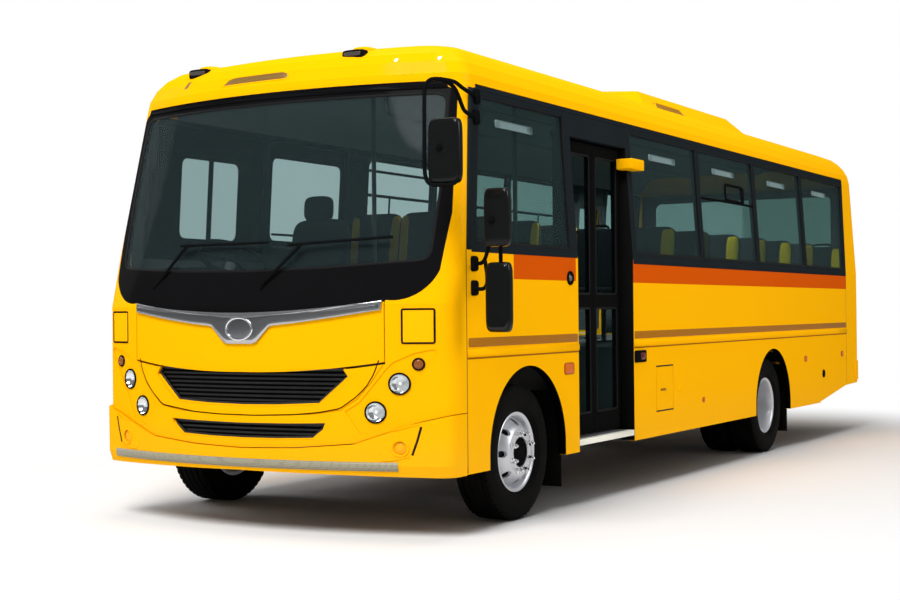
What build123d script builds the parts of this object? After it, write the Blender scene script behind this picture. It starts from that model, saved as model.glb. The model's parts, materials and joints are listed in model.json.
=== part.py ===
from build123d import *
import math
import os

# Single-deck school bus, millimetres. +Z is up, the nose points to -Y, and +X is the kerb side
# with the passenger door. The origin is on the ground under the middle of the vehicle.
# Places along the bus are given as stations: millimetres behind the seam between nose and walls.

# ---- driving dimensions ----
SEAM_Y = -3880.0            # where station 0 lies in the bus's frame
BODY_HALF = 1220.0          # half of the 8 ft body
WAIST_Z = 1565.0            # lower edge of the dark window band
EAVES_Z = 2475.0            # upper edge of the window band, where the roof starts
EAVES_HALF = 1160.0
SKIRT_Z = 340.0             # lower edge of the side panels
NOSE_STATION = -410.0       # foremost point of the nose
TAIL_STATION = 8175.0
NOSE_PLAN_R = 3100.0        # plan radius of the nose
TAIL_PLAN_R = 14000.0
SCREEN_FOOT_Z = 1270.0      # above this the front leans back
WALL = 45.0                 # wall thickness with its framing
FLOOR_TOP = 970.0
FLOOR_THICK = 40.0

FRONT_AXLE = 735.0          # stations of the axles
REAR_AXLE = 5345.0
TYRE_R = 398.0
TYRE_W = 235.0
RIM_R = 236.0
FRONT_TRACK_HALF = 1040.0   # middle of a front tyre
REAR_OUTER_HALF = 1045.0    # middle of the outer tyre of a rear pair
REAR_INNER_HALF = 780.0
KINGPIN_HALF = 880.0
FRONT_ARCH_R = 490.0
REAR_ARCH_HALF = 473.0

DOOR_FROM, DOOR_TO = 1430.0, 2310.0      # passenger doorway
DOOR_SILL, DOOR_HEAD = 415.0, 2320.0
LEAF_FACE = 1120.0          # outer face of the closed door leaves
LEAF_THICK = 35.0
LEAF_W = 425.0
DOOR_GAP = 15.0

EXIT_FROM, EXIT_TO = 6420.0, 7080.0      # emergency door, road side
EXIT_SILL, EXIT_HEAD = 990.0, 2330.0

LID_FROM, LID_TO = 2700.0, 3020.0        # tool locker lid, kerb side
LID_LOW, LID_HIGH = 510.0, 830.0

RAIL_X = 400.0              # chassis rails
RAIL_LOW, RAIL_HIGH = 530.0, 730.0

# Body sections: height, half width, nose station on the centre line, tail station, corner radius
WALL_SECTIONS = [
    (200.0, BODY_HALF, NOSE_STATION, TAIL_STATION, 150.0),
    (SCREEN_FOOT_Z, BODY_HALF, NOSE_STATION, TAIL_STATION, 150.0),
    (WAIST_Z, BODY_HALF, -336.0, 8170.0, 150.0),
    (EAVES_Z, EAVES_HALF, -109.0, 8160.0, 115.0),
]
ROOF_SECTIONS = [
    (EAVES_Z, EAVES_HALF, -109.0, 8160.0, 115.0),
    (2550.0, 1144.0, -98.0, 8150.0, 120.0),
    (2620.0, 1107.0, -68.0, 8125.0, 140.0),
    (2675.0, 1058.0, -25.0, 8095.0, 170.0),
    (2715.0, 1005.0, 35.0, 8060.0, 200.0),
    (2760.0, 897.0, 225.0, 7985.0, 220.0),
    (2810.0, 675.0, 580.0, 7830.0, 200.0),
    (2850.0, 418.0, 920.0, 7560.0, 140.0),
    (2875.0, 120.0, 1400.0, 7000.0, 50.0),
]


def at(station):
    """Y of a place given as a station."""
    return SEAM_Y + station


def polygon(points):
    return Polygon(*points, align=None)


def along_x(sketch, x0, x1):
    """Solid of a sketch in (Y, Z) from x0 to x1."""
    plane = Plane((x0, 0, 0), x_dir=(0, 1, 0), z_dir=(1, 0, 0))
    return extrude(plane * sketch, amount=x1 - x0, dir=(1, 0, 0))


def along_y(sketch, y0, y1):
    """Solid of a sketch in (X, Z) from y0 to y1."""
    plane = Plane((0, y1, 0), x_dir=(1, 0, 0), z_dir=(0, -1, 0))
    return extrude(plane * sketch, amount=y1 - y0, dir=(0, -1, 0))


def along_z(sketch, z0, z1):
    return extrude(Pos(0, 0, z0) * sketch, amount=z1 - z0, dir=(0, 0, 1))


def block(x0, x1, y0, y1, z0, z1):
    return Pos((x0 + x1) / 2, (y0 + y1) / 2, (z0 + z1) / 2) * Box(x1 - x0, y1 - y0, z1 - z0)


def rod_x(radius, x0, x1, y, z):
    return Pos((x0 + x1) / 2, y, z) * Rot(0, 90, 0) * Cylinder(radius, abs(x1 - x0))


def rod_z(radius, z0, z1, x, y):
    return Pos(x, y, (z0 + z1) / 2) * Cylinder(radius, z1 - z0)


def mirror_x(shape):
    return mirror(shape, about=Plane.YZ)


def side_face(points):
    """Face in (Y, Z) from stations and heights."""
    return polygon([(at(s), z) for s, z in points])


def front_face(half_points):
    """Symmetric face in (X, Z) from the points of its +X half, from and to the centre line."""
    left = [(-x, z) for x, z in reversed(half_points[1:-1])]
    return polygon(half_points + left)


# ---- body mould ----
def plan_section(z, half, nose, tail, corner, inset):
    """Plan outline of the body at one height: bowed nose and tail, straight sides."""
    half = half - inset
    nose_y = at(nose) + inset
    tail_y = at(tail) - inset
    nose_sag = NOSE_PLAN_R - math.sqrt(NOSE_PLAN_R**2 - half**2)
    tail_sag = TAIL_PLAN_R - math.sqrt(TAIL_PLAN_R**2 - half**2)
    nose_side = nose_y + nose_sag
    tail_side = tail_y - tail_sag
    front = ThreePointArc((-half, nose_side), (0, nose_y), (half, nose_side))
    right = Line((half, nose_side), (half, tail_side))
    back = ThreePointArc((half, tail_side), (0, tail_y), (-half, tail_side))
    left = Line((-half, tail_side), (-half, nose_side))
    face = make_face([front, right, back, left])
    radius = max(corner - inset, 12.0)
    front_corners = face.vertices().sort_by(Axis.Y)[:2]
    face = fillet(front_corners, radius)
    back_corners = face.vertices().sort_by(Axis.Y)[-2:]
    face = fillet(back_corners, min(radius, 90.0))
    return Pos(0, 0, z) * face


def wall_mould(inset):
    """Solid inside the walls, shrunk by inset."""
    rows = [plan_section(*row, inset) for row in WALL_SECTIONS]
    return loft(rows, ruled=True)


def roof_mould(inset):
    """Solid inside the roof, shrunk by inset; the eaves keep their height."""
    rows = []
    for z, half, nose, tail, corner in ROOF_SECTIONS:
        drop = inset * (z - EAVES_Z) / (ROOF_SECTIONS[-1][0] - EAVES_Z)
        rows.append(plan_section(z - drop, half, nose, tail, corner, inset * 0.9))
    return loft(rows, ruled=True)


MOULDS = {}


def mould(inset):
    """Wall mould, made once for each inset."""
    if inset not in MOULDS:
        MOULDS[inset] = wall_mould(inset)
    return MOULDS[inset]


def skin(outer, inner):
    """Wall between two insets."""
    return mould(outer) - mould(inner)


# ---- nose outlines, (X, Z) ----
NOSE_REAR = [(-450, 150), (0, 150), (0, WAIST_Z), (150, EAVES_Z), (-450, EAVES_Z)]


def mirrored_face(edges):
    """Face from the edges of its +X half, both ends on the centre line."""
    other = [mirror(edge, about=Plane.YZ) for edge in edges]
    return make_face(edges + other)


def surround_outline():
    """Dark windscreen surround: flat head, upright sides, curved lower corners."""
    head = Line((0, EAVES_Z - 3), (1050, EAVES_Z - 3))
    shoulder = ThreePointArc((1050, EAVES_Z - 3), (1104, EAVES_Z - 26), (1126, EAVES_Z - 78))
    side_high = Line((1126, EAVES_Z - 78), (1165, 1760))
    side_low = Line((1165, 1760), (1142, 1450))
    corner = ThreePointArc((1142, 1450), (1058, 1335), (885, 1290))
    foot = ThreePointArc((885, 1290), (450, 1247), (0, 1233))
    return mirrored_face([head, shoulder, side_high, side_low, corner, foot])


def glass_outline():
    """Visible windscreen glass."""
    head = Line((0, 2436), (1020, 2436))
    shoulder = ThreePointArc((1020, 2436), (1060, 2421), (1078, 2386))
    side = ThreePointArc((1078, 2386), (1100, 1980), (1088, 1540))
    corner = ThreePointArc((1088, 1540), (1070, 1512), (1020, 1500))
    foot = ThreePointArc((1020, 1500), (500, 1470), (0, 1460))
    return mirrored_face([head, shoulder, side, corner, foot])


FLAP_HALF = 870.0
FLAP_GAP = 6.0
FLAP_FOOT_GAP = 12.0


def flap_outline(side_gap, foot_gap, head_gap):
    """Service flap under the windscreen: curved head, upright sides, bowed foot."""
    half = FLAP_HALF + side_gap
    head = ThreePointArc((half, 1282 + head_gap), (430, 1240 + head_gap), (0, 1226 + head_gap))
    side = Line((half, 1282 + head_gap), (half, 958 - foot_gap))
    foot = ThreePointArc((half, 958 - foot_gap), (450, 912 - foot_gap), (0, 899 - foot_gap))
    return mirrored_face([head, side, foot])


def bar_outline():
    """Bright bar along the flap's head, widened in the middle round a plain oval."""
    top = ThreePointArc((0, 1224), (440, 1238), (862, 1277))
    tip = Line((862, 1277), (856, 1238))
    lower = ThreePointArc((856, 1238), (520, 1180), (205, 1157))
    flank = Line((205, 1157), (104, 1056))
    foot = Line((104, 1056), (0, 1050))
    return mirrored_face([top, tip, lower, flank, foot])


UPPER_GRILLE = [(0, 888), (330, 895), (640, 905), (670, 880), (497, 724), (250, 712), (0, 708)]
LOWER_GRILLE = [(0, 616), (300, 619), (537, 625), (520, 585), (455, 535), (230, 528), (0, 526)]
BUMPER_TOP = [(0, 474), (350, 484), (700, 512), (1060, 633), (1240, 676)]
BUMPER_FOOT = [(1240, 335), (700, 345), (0, 353)]

# Round lamps in the nose: x, z, radius
NOSE_LAMPS = [(950, 840, 56), (820, 686, 56), (1050, 945, 30), (960, 497, 34)]


def lamp_rods(grow):
    rods = []
    for x, z, radius in NOSE_LAMPS:
        for side in (-1, 1):
            face = Pos(side * x, z) * Circle(radius + grow)
            rods.append(along_y(face, at(-450), at(60)))
    return rods


def nose_region():
    return along_x(side_face(NOSE_REAR), -1300, 1300)


def bumper_band(grow, drop):
    """Prism between the bumper's upper edge, raised by grow, and its foot, lowered by drop."""
    half = [(x, z + grow) for x, z in BUMPER_TOP]
    right = half + [(x, z - drop) for x, z in BUMPER_FOOT]
    left = [(-x, z) for x, z in reversed(right)]
    return along_y(polygon(right + left[1:-1]), at(-460), at(0))


def grille_prism(points):
    return along_y(front_face(points), at(-450), at(0))


def make_nose_panel():
    panel = skin(0, WALL) & nose_region()
    panel = panel & block(-1300, 1300, at(-460), at(200), SKIRT_Z, EAVES_Z)
    panel = panel - along_y(surround_outline(), at(-450), at(140))
    panel = panel - along_y(flap_outline(FLAP_GAP, FLAP_FOOT_GAP, 16), at(-450), at(0))
    panel = panel - grille_prism([(x, z + 16) if z > 886 else (x, z) for x, z in UPPER_GRILLE])
    panel = panel - grille_prism(LOWER_GRILLE)
    panel = panel - bumper_band(5, 60)
    for rod in lamp_rods(0):
        panel = panel - rod
    panel = panel - (along_y(seam_strip(), at(-450), at(0)) & skin(-1, SEAM_DEPTH))
    for outline in (LAMP_PANEL, [(-x, z) for x, z in reversed(LAMP_PANEL)]):
        panel = panel - (along_y(polygon(outline), at(-450), at(0)) & skin(-1, LAMP_PANEL_DEPTH))
    return panel


# Panel seam under the grille, +X half from the centre line up to the flap's corner
SEAM_PATH = [(0, 658), (230, 662), (460, 673), (626, 697), (720, 757), (798, 845), (838, 905), (864, 940)]
SEAM_HALF = 2.5
SEAM_DEPTH = 7.0
# Shallow recess round the two lamps of the +X side
LAMP_PANEL = [(650, 689), (735, 572), (779, 570), (904, 620), (984, 765), (1060, 880), (1120, 960),
              (1149, 1008), (1130, 1026), (1028, 1005), (918, 957), (884, 925), (810, 834), (734, 742)]
LAMP_PANEL_DEPTH = 6.0


def seam_strip():
    """Narrow strip in (X, Z) along the whole seam."""
    path = [(-x, z) for x, z in reversed(SEAM_PATH[1:])] + SEAM_PATH
    upper, lower = [], []
    for number, (x, z) in enumerate(path):
        before = path[max(number - 1, 0)]
        after = path[min(number + 1, len(path) - 1)]
        run_x, run_z = after[0] - before[0], after[1] - before[1]
        length = math.hypot(run_x, run_z)
        side_x, side_z = -run_z / length * SEAM_HALF, run_x / length * SEAM_HALF
        upper.append((x + side_x, z + side_z))
        lower.append((x - side_x, z - side_z))
    return polygon(lower + upper[::-1])


# Bumper sections: height, half width, nose station, corner radius
BUMPER_SECTIONS = [(300.0, 1214.0, -396.0, 120.0), (400.0, BODY_HALF, -428.0, 105.0),
                   (720.0, BODY_HALF, -432.0, 105.0)]


def bumper_mould(inset):
    rows = [plan_section(z, half, nose, TAIL_STATION, corner, inset) for z, half, nose, corner in BUMPER_SECTIONS]
    return loft(rows, ruled=True)


def make_front_bumper():
    """Bumper standing a little proud of the nose and tucked in at its foot."""
    bumper = (bumper_mould(0) - bumper_mould(60)) & bumper_band(0, 0)
    for rod in lamp_rods(0)[-2:]:
        bumper = bumper - rod
    return bumper


def make_grilles():
    parts = []
    for points, pitch in ((UPPER_GRILLE, 36.0), (LOWER_GRILLE, 30.0)):
        plate = skin(16, 40) & grille_prism(points)
        low = min(z for _, z in points)
        high = max(z for _, z in points)
        rows = int((high - low - 24) // pitch)
        inner = offset(front_face(points), amount=-14)
        for row in range(rows):
            z = low + 24 + row * pitch
            slot = along_y(Pos(0, z + pitch * 0.3) * Rectangle(1600, pitch * 0.6), at(-450), at(0))
            plate = plate - (slot & along_y(inner, at(-450), at(0)))
        parts.append(plate)
    return parts


def make_windscreen_surround():
    frame = skin(0, WALL) & along_y(surround_outline(), at(-450), at(140)) & nose_region()
    return frame - along_y(glass_outline(), at(-450), at(140))


def make_windscreen():
    return skin(4, 12) & along_y(glass_outline(), at(-450), at(140))


def make_front_flap():
    return skin(0, 14) & along_y(flap_outline(0, 0, 0), at(-450), at(0))


def make_trim_bar():
    return skin(-14, 0) & along_y(bar_outline(), at(-450), at(0))


def make_lamps():
    """Lamp bodies flush with the skin, four a side in the nose and three in the tail."""
    rods = lamp_rods(0)
    bodies = [rod & skin(5, 44) for rod in rods[:-2]]
    fog_ring = bumper_mould(8) - bumper_mould(48)
    bodies += [rod & fog_ring for rod in rods[-2:]]
    for x, z, width, height in TAIL_LAMPS:
        for side in (-1, 1):
            face = Pos(side * x, z) * Rectangle(width, height)
            bodies.append(along_y(face, at(8000), at(8300)) & skin(0, 30))
    return bodies


# Tail lamps: x, z, width, height
TAIL_LAMPS = [(1030, 780, 120, 120), (1030, 920, 120, 120), (1030, 1060, 120, 120)]
TAIL_SPLIT = [(7665, 150), (8400, 150), (8400, EAVES_Z), (7760, EAVES_Z), (7665, WAIST_Z)]
SKIRT_RISE = [(6742, 100), (6742, 350), (7620, 462), (8400, 480), (8400, 100)]


def make_rear_wall():
    wall = skin(0, WALL) & along_x(side_face(TAIL_SPLIT), -1300, 1300)
    wall = wall - along_x(side_face(SKIRT_RISE), -1300, 1300)
    wall = wall - along_y(rear_glass_outline(), at(8000), at(8300))
    for x, z, width, height in TAIL_LAMPS:
        for side in (-1, 1):
            face = Pos(side * x, z) * Rectangle(width, height)
            wall = wall - along_y(face, at(8000), at(8300))
    return wall


def rear_glass_outline():
    return Pos(0, 2000) * RectangleRounded(1960, 760, 90)


def make_rear_glass():
    return skin(4, 12) & along_y(rear_glass_outline(), at(8000), at(8300))


def make_rear_bumper():
    """Wrap-round rear bumper below the lamps."""
    low, high = 500.0, 690.0
    outer = wall_band(-8, low, high) - wall_band(0, low - 5, high + 5)
    return outer & block(-1300, 1300, at(7960), at(8400), low, high)


def wall_band(inset, z0, z1):
    row = WALL_SECTIONS[0]
    return along_z(Pos(0, 0, 0) * plan_section(0.0, *row[1:], inset), z0, z1)


# ---- side walls ----
WALL_SIDE = [(0, SKIRT_Z), (7665, SKIRT_Z), (7665, WAIST_Z), (46, WAIST_Z), (216, EAVES_Z),
             (150, EAVES_Z), (0, WAIST_Z)]
BAND_SIDE = [(46, WAIST_Z), (7665, WAIST_Z), (7760, EAVES_Z), (216, EAVES_Z)]
WINDOW_LOW, WINDOW_HIGH = 1602.0, 2438.0
# Window bays: lower front, lower rear, upper front, upper rear station
KERB_WINDOWS = [(110, 1340, 262, 1340), (2385, 3655, 2385, 3655), (3705, 4975, 3705, 4975),
                (5025, 6315, 5025, 6315), (6365, 7612, 6365, 7700)]
ROAD_WINDOWS = [(110, 1340, 262, 1340), (1395, 2335, 1395, 2335), (2385, 3655, 2385, 3655),
                (3705, 4975, 3705, 4975), (5025, 6315, 5025, 6315), (7145, 7612, 7145, 7700)]


def half_space(side):
    return block(0, 1400, -5000, 5000, 0, 3000) if side > 0 else block(-1400, 0, -5000, 5000, 0, 3000)


def arch_cut(station, radius, centre_z):
    return along_x(Pos(at(station), centre_z) * Circle(radius), -1400, 1400)


def door_cut():
    return block(1000, 1400, at(DOOR_FROM), at(DOOR_TO), 300, DOOR_HEAD)


def exit_face(front, rear, low, high):
    """Emergency door outline drawn in from its opening by the given gaps."""
    return side_face([(EXIT_FROM + front, EXIT_SILL + low), (EXIT_TO - rear, EXIT_SILL + low),
                      (EXIT_TO - rear, EXIT_HEAD - high), (EXIT_FROM + front, EXIT_HEAD - high)])


def exit_cut():
    return along_x(exit_face(0, 0, 0, 0), -1400, -900)


def lid_face(gap):
    return side_face([(LID_FROM + gap, LID_LOW + gap), (LID_TO - gap, LID_LOW + gap),
                      (LID_TO - gap, LID_HIGH - gap), (LID_FROM + gap, LID_HIGH - gap)])


def make_side_wall(side):
    wall = skin(0, WALL) & along_x(side_face(WALL_SIDE), -1300, 1300) & half_space(side)
    wall = wall - along_x(side_face(SKIRT_RISE), -1300, 1300)
    wall = wall - arch_cut(FRONT_AXLE + 10, FRONT_ARCH_R, 415)
    wall = wall - arch_cut(REAR_AXLE - 5, REAR_ARCH_HALF, 409)
    wall = wall - block(-1400, 1400, at(REAR_AXLE - 478), at(REAR_AXLE + 468), 300, 409)
    wall = wall - block(-1400, 1400, at(FRONT_AXLE - 480), at(FRONT_AXLE + 500), 300, 415)
    if side > 0:
        wall = wall - door_cut()
        wall = wall - along_x(lid_face(0), 1000, 1400)
    else:
        wall = wall - exit_cut()
    return wall


def window_prism(row, side):
    low_front, low_rear, high_front, high_rear = row
    face = side_face([(low_front, WINDOW_LOW), (low_rear, WINDOW_LOW),
                      (high_rear, WINDOW_HIGH), (high_front, WINDOW_HIGH)])
    return along_x(face, 900, 1400) if side > 0 else along_x(face, -1400, -900)


def make_window_frame(side):
    frame = skin(0, WALL) & along_x(side_face(BAND_SIDE), -1300, 1300) & half_space(side)
    for row in (KERB_WINDOWS if side > 0 else ROAD_WINDOWS):
        frame = frame - window_prism(row, side)
    return frame - (door_cut() if side > 0 else exit_cut())


def make_side_glass():
    panes = []
    pane_skin = skin(14, 20)
    for side, rows in ((1, KERB_WINDOWS), (-1, ROAD_WINDOWS)):
        for row in rows:
            panes.append(pane_skin & window_prism(row, side))
    return panes


def make_roof():
    return roof_mould(0) - roof_mould(WALL)


# Roof pod plan: foot outline and top outline as (x, station) of the +X half, from nose to tail
POD_FOOT = [(0, 2500), (300, 2640), (620, 2950), (880, 3360), (880, 5690), (0, 5720)]
POD_TOP = [(0, 3490), (300, 3495), (560, 3510), (742, 3540), (742, 5560), (0, 5590)]
POD_CROWN = [(0, 3640), (100, 3650), (200, 3660), (300, 3700), (300, 5400), (0, 5420)]
POD_HEIGHTS = [2755.0, 2897.0, 2948.0]


def pod_section(half_points, z):
    right = [(x, at(station)) for x, station in half_points]
    left = [(-x, y) for x, y in reversed(right[1:-1])]
    return Pos(0, 0, z) * polygon(right + left)


def make_roof_pod():
    """Low pod on the roof with a long front slope."""
    rows = [pod_section(points, z) for points, z in zip((POD_FOOT, POD_TOP, POD_CROWN), POD_HEIGHTS)]
    return loft(rows, ruled=True) - roof_mould(0)


# Marker lamps on the roof's brow: x, station of the front face
ROOF_MARKERS = [(480, 15), (-620, 35)]
MARKER_FOOT, MARKER_TOP = 2660.0, 2740.0
MARKER_HALF = 72.0
MARKER_DEPTH = 62.0


def make_roof_markers():
    """Dark lamp bodies on the roof's brow."""
    shell = roof_mould(0)
    lamps = []
    for x, station in ROOF_MARKERS:
        y = at(station + MARKER_DEPTH / 2)
        foot = Pos(x, y, MARKER_FOOT) * RectangleRounded(MARKER_HALF * 2, MARKER_DEPTH, 12)
        top = Pos(x, y + 8, MARKER_TOP) * RectangleRounded(MARKER_HALF * 2 - 24, MARKER_DEPTH - 16, 12)
        lamps.append(loft([foot, top], ruled=True) - shell)
    return lamps


def make_marker_fairings():
    """Body-coloured fairings behind the marker lamps, and the sign box behind the doorway."""
    shell = roof_mould(0)
    pieces = []
    for x, station in ROOF_MARKERS:
        start = station + MARKER_DEPTH + 2
        side = side_face([(start, MARKER_FOOT), (start, 2757), (start + 30, 2763), (start + 290, 2778),
                          (start + 300, 2690)])
        pieces.append(along_x(side, x - 58, x + 58) - shell)
    sign = block(1150, 1262, at(SIGN_FROM), at(SIGN_TO), *SIGN_Z)
    pieces.append(sign - mould(0))
    return pieces


SIGN_FROM, SIGN_TO = 2205.0, 2420.0
SIGN_Z = (2170.0, 2242.0)


# ---- floor, steps and doorway ----
def make_floor():
    """Floor boards and the plates of the step well, one millimetre apart."""
    low, high = FLOOR_TOP - FLOOR_THICK, FLOOR_TOP
    # x0, x1, first station, last station of each board
    boards = [(HUMP_HALF, 1300, -300, DOOR_FROM - 13), (-1300, -HUMP_HALF, -300, DOOR_FROM - 13),
              (-HUMP_HALF + 1, HUMP_HALF - 1, 760, DOOR_FROM - 13),
              (-1300, WELL_X - 13, DOOR_FROM - 12, DOOR_TO + 12), (-1300, 1300, DOOR_TO + 13, 8100)]
    plates = [mould(WALL) & block(x0, x1, at(s0), at(s1), low, high) for x0, x1, s0, s1 in boards]
    for x0, x1, z in STEPS:
        plates.append(block(x0, x1, at(DOOR_FROM + 1), at(DOOR_TO - 1), z - 20, z))
    for x, z0, z1 in RISERS:
        plates.append(block(x - 12, x, at(DOOR_FROM + 1), at(DOOR_TO - 1), z0, z1))
    for edge0, edge1 in ((DOOR_FROM - 12, DOOR_FROM), (DOOR_TO, DOOR_TO + 12)):
        plates.append(block(WELL_X - 12, 1060, at(edge0), at(edge1), 395, FLOOR_TOP))
    return plates


HUMP_HALF = 331.0
WELL_X = 560.0
# Treads of the step well: inner x, outer x, height; and the risers: x, foot, head
STEPS = [(821.0, 1174.0, 415.0), (573.0, 819.0, 600.0)]
RISERS = [(820.0, 395.0, 579.0), (572.0, 580.0, FLOOR_TOP)]


def make_door_step():
    """Ribbed nosing of the lowest step, let into the doorway."""
    nosing = block(1176, 1219, at(DOOR_FROM + 6), at(DOOR_TO - 6), 378, 414)
    return nosing


def make_door_frame():
    """Dark posts and header round the doorway, inside the wall."""
    grow = 30.0
    posts = [block(1062, 1174, at(DOOR_FROM - grow), at(DOOR_FROM - 1), FLOOR_TOP + 2, DOOR_HEAD + 1),
             block(1062, 1174, at(DOOR_TO + 1), at(DOOR_TO + grow), FLOOR_TOP + 2, DOOR_HEAD + 1),
             block(1050, 1174, at(DOOR_FROM - grow), at(DOOR_TO + grow), DOOR_HEAD + 2, DOOR_HEAD + 42)]
    return [post & mould(WALL) for post in posts]


def leaf_solid(front, rear):
    leaf = block(LEAF_FACE - LEAF_THICK, LEAF_FACE, at(front), at(rear), DOOR_SILL + 12, DOOR_HEAD - 12)
    for low, high in LEAF_GLASS:
        leaf = leaf - block(1000, 1200, at(front + 45), at(rear - 45), low, high)
    return leaf


LEAF_GLASS = [(560, 1240), (1330, 2230)]


def leaf_panes(front, rear):
    panes = []
    for low, high in LEAF_GLASS:
        middle = LEAF_FACE - LEAF_THICK / 2
        panes.append(block(middle - 3, middle + 3, at(front + 45), at(rear - 45), low, high))
    return panes


LEAF_FRONT = (DOOR_FROM + DOOR_GAP, DOOR_FROM + DOOR_GAP + LEAF_W - 2.5)
LEAF_REAR = (DOOR_FROM + DOOR_GAP + LEAF_W + 2.5, DOOR_FROM + DOOR_GAP + 2 * LEAF_W)


def make_emergency_door():
    door = skin(0, WALL) & along_x(exit_face(4, 14, 6, 6), -1400, -900)
    return door - along_x(exit_window(), -1400, -900)


def exit_window():
    return side_face([(EXIT_FROM + 70, WINDOW_LOW + 10), (EXIT_TO - 80, WINDOW_LOW + 10),
                      (EXIT_TO - 80, 2262), (EXIT_FROM + 70, 2262)])


def make_emergency_glass():
    return skin(14, 20) & along_x(exit_window(), -1400, -900)


def make_tool_lid():
    return skin(0, 22) & along_x(lid_face(6), 1000, 1400)


def make_tool_locker():
    """Open-fronted sheet box behind the lid."""
    box = block(760, 1174, at(LID_FROM - 30), at(LID_TO + 30), LID_LOW - 30, LID_HIGH + 30)
    room = block(766, 1200, at(LID_FROM - 24), at(LID_TO + 24), LID_LOW - 24, LID_HIGH + 24)
    return box - room


# ---- chassis ----
def make_chassis_frame():
    """Ladder frame of two channel rails and cross-members, with tow plates and body outriggers."""
    frame = None
    for side in (-1, 1):
        web = block(RAIL_X - 4, RAIL_X + 4, at(-230), at(7960), RAIL_LOW, RAIL_HIGH)
        low = block(RAIL_X - 70, RAIL_X + 4, at(-230), at(7960), RAIL_LOW, RAIL_LOW + 8)
        high = block(RAIL_X - 70, RAIL_X + 4, at(-230), at(7960), RAIL_HIGH - 8, RAIL_HIGH)
        rail = web + low + high
        rail = rail if side > 0 else mirror_x(rail)
        frame = rail if frame is None else frame + rail
    for station in CROSS_MEMBERS:
        frame = frame + block(-RAIL_X, RAIL_X, at(station - 40), at(station + 40), 625, 715)
    x, station, z = TOW_FRONT
    tongue = block(x - 50, x + 50, at(station - 50), at(station + 50), z - 12, z + 12)
    web = block(x - 12, x + 12, at(station + 30), at(station + 50), z, RAIL_LOW)
    frame = frame + tongue + web
    frame = frame - rod_z(TOW_R, z - 40, z + 40, x, at(station))
    x, station, z = TOW_REAR
    frame = frame + block(x - 12, x + 12, at(station - 50), at(station + 50), z - 50, RAIL_LOW)
    frame = frame - rod_x(TOW_R, x - 40, x + 40, at(station), z)
    return [frame] + make_outriggers()


def make_outriggers():
    """Bearers from the rails out to the side walls."""
    arms = []
    for station in OUTRIGGERS:
        arm = block(RAIL_X - 60, 1174, at(station - 30), at(station + 30), RAIL_HIGH + 1, RAIL_HIGH + 60)
        post = block(1100, 1174, at(station - 30), at(station + 30), RAIL_HIGH + 1, 929)
        pad = block(RAIL_X - 60, RAIL_X, at(station - 30), at(station + 30), RAIL_HIGH + 1, 929)
        arm = arm + post + pad
        arms += [arm, mirror_x(arm)]
    return arms


CROSS_MEMBERS = [-120, 1500, 2800, 4300, 6600, 7870]
OUTRIGGERS = [2480, 3300, 4100, 6400, 7400]
TOW_R = 22.0
# Tow holes, front upright and rear crosswise: x, station, height
TOW_FRONT = (RAIL_X - 16, -160, 400)
TOW_REAR = (RAIL_X - 16, 7890, 425)


def make_engine():
    block_low = block(-270, 270, at(-60), at(760), 470, 900)
    sump = block(-190, 190, at(60), at(640), 400, 470)
    gearbox = along_x(side_face([(760, 470), (760, 800), (1300, 640), (1300, 480)]), -170, 170)
    return [block_low + sump + gearbox, make_radiator()]


def make_propeller_shaft():
    return Pos(0, at((1302 + 5132) / 2), 0) * shaft_between(1302, 5132, 560, 410)


def shaft_between(station0, station1, z0, z1):
    run = station1 - station0
    length = math.hypot(run, z1 - z0)
    tilt = math.degrees(math.atan2(z1 - z0, run))
    tube = Rot(tilt, 0, 0) * Rot(-90, 0, 0) * Cylinder(45, length)
    return Pos(0, 0, (z0 + z1) / 2) * tube


def make_radiator():
    return block(-325, 325, at(-255), at(-190), 500, 965)


def make_fuel_tank():
    face = Pos(-800, 570) * RectangleRounded(420, 320, 70)
    return along_y(face, at(2350), at(3350))


SPRING_X = 480.0


def leaf_spring(station, half_span, low_z, eye_z, x):
    """Pack of three leaves, bowed down at the axle."""
    spring = None
    for number in range(3):
        reach = half_span * (1 - 0.24 * number)
        sag = (eye_z - low_z) * (reach / half_span) ** 2
        z0 = low_z - number * 16
        outer = ThreePointArc((at(station) - reach, z0 + sag), (at(station), z0), (at(station) + reach, z0 + sag))
        inner = ThreePointArc((at(station) + reach, z0 + sag + 15.5), (at(station), z0 + 15.5),
                              (at(station) - reach, z0 + sag + 15.5))
        end0 = Line(outer @ 1, inner @ 0)
        end1 = Line(inner @ 1, outer @ 0)
        leaf = along_x(make_face([outer, end0, inner, end1]), x - 35, x + 35)
        clamp = block(x - 35, x + 35, at(station) - 50, at(station) + 50, low_z - 32, low_z + 30)
        spring = leaf + clamp if spring is None else spring + leaf
    for end in (-1, 1):
        y = at(station) + end * half_span
        hanger = block(x - 30, x + 30, y - 25, y + 25, eye_z, RAIL_HIGH - 60)
        bracket = block(RAIL_X + 4, x + 30, y - 25, y + 25, RAIL_HIGH - 110, RAIL_HIGH - 50)
        spring = spring + hanger + bracket
    return spring


def make_leaf_springs():
    springs = []
    for station, half_span, low_z in ((FRONT_AXLE, 600, 476), (REAR_AXLE, 680, 532)):
        for side in (-1, 1):
            spring = leaf_spring(station, half_span, low_z, low_z + 60, SPRING_X)
            springs.append(spring if side > 0 else mirror_x(spring))
    return springs


# ---- axles and wheels ----
KINGPIN_R = 19.0
PIN_PLAY = 0.4
STUB_R = 32.0


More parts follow.
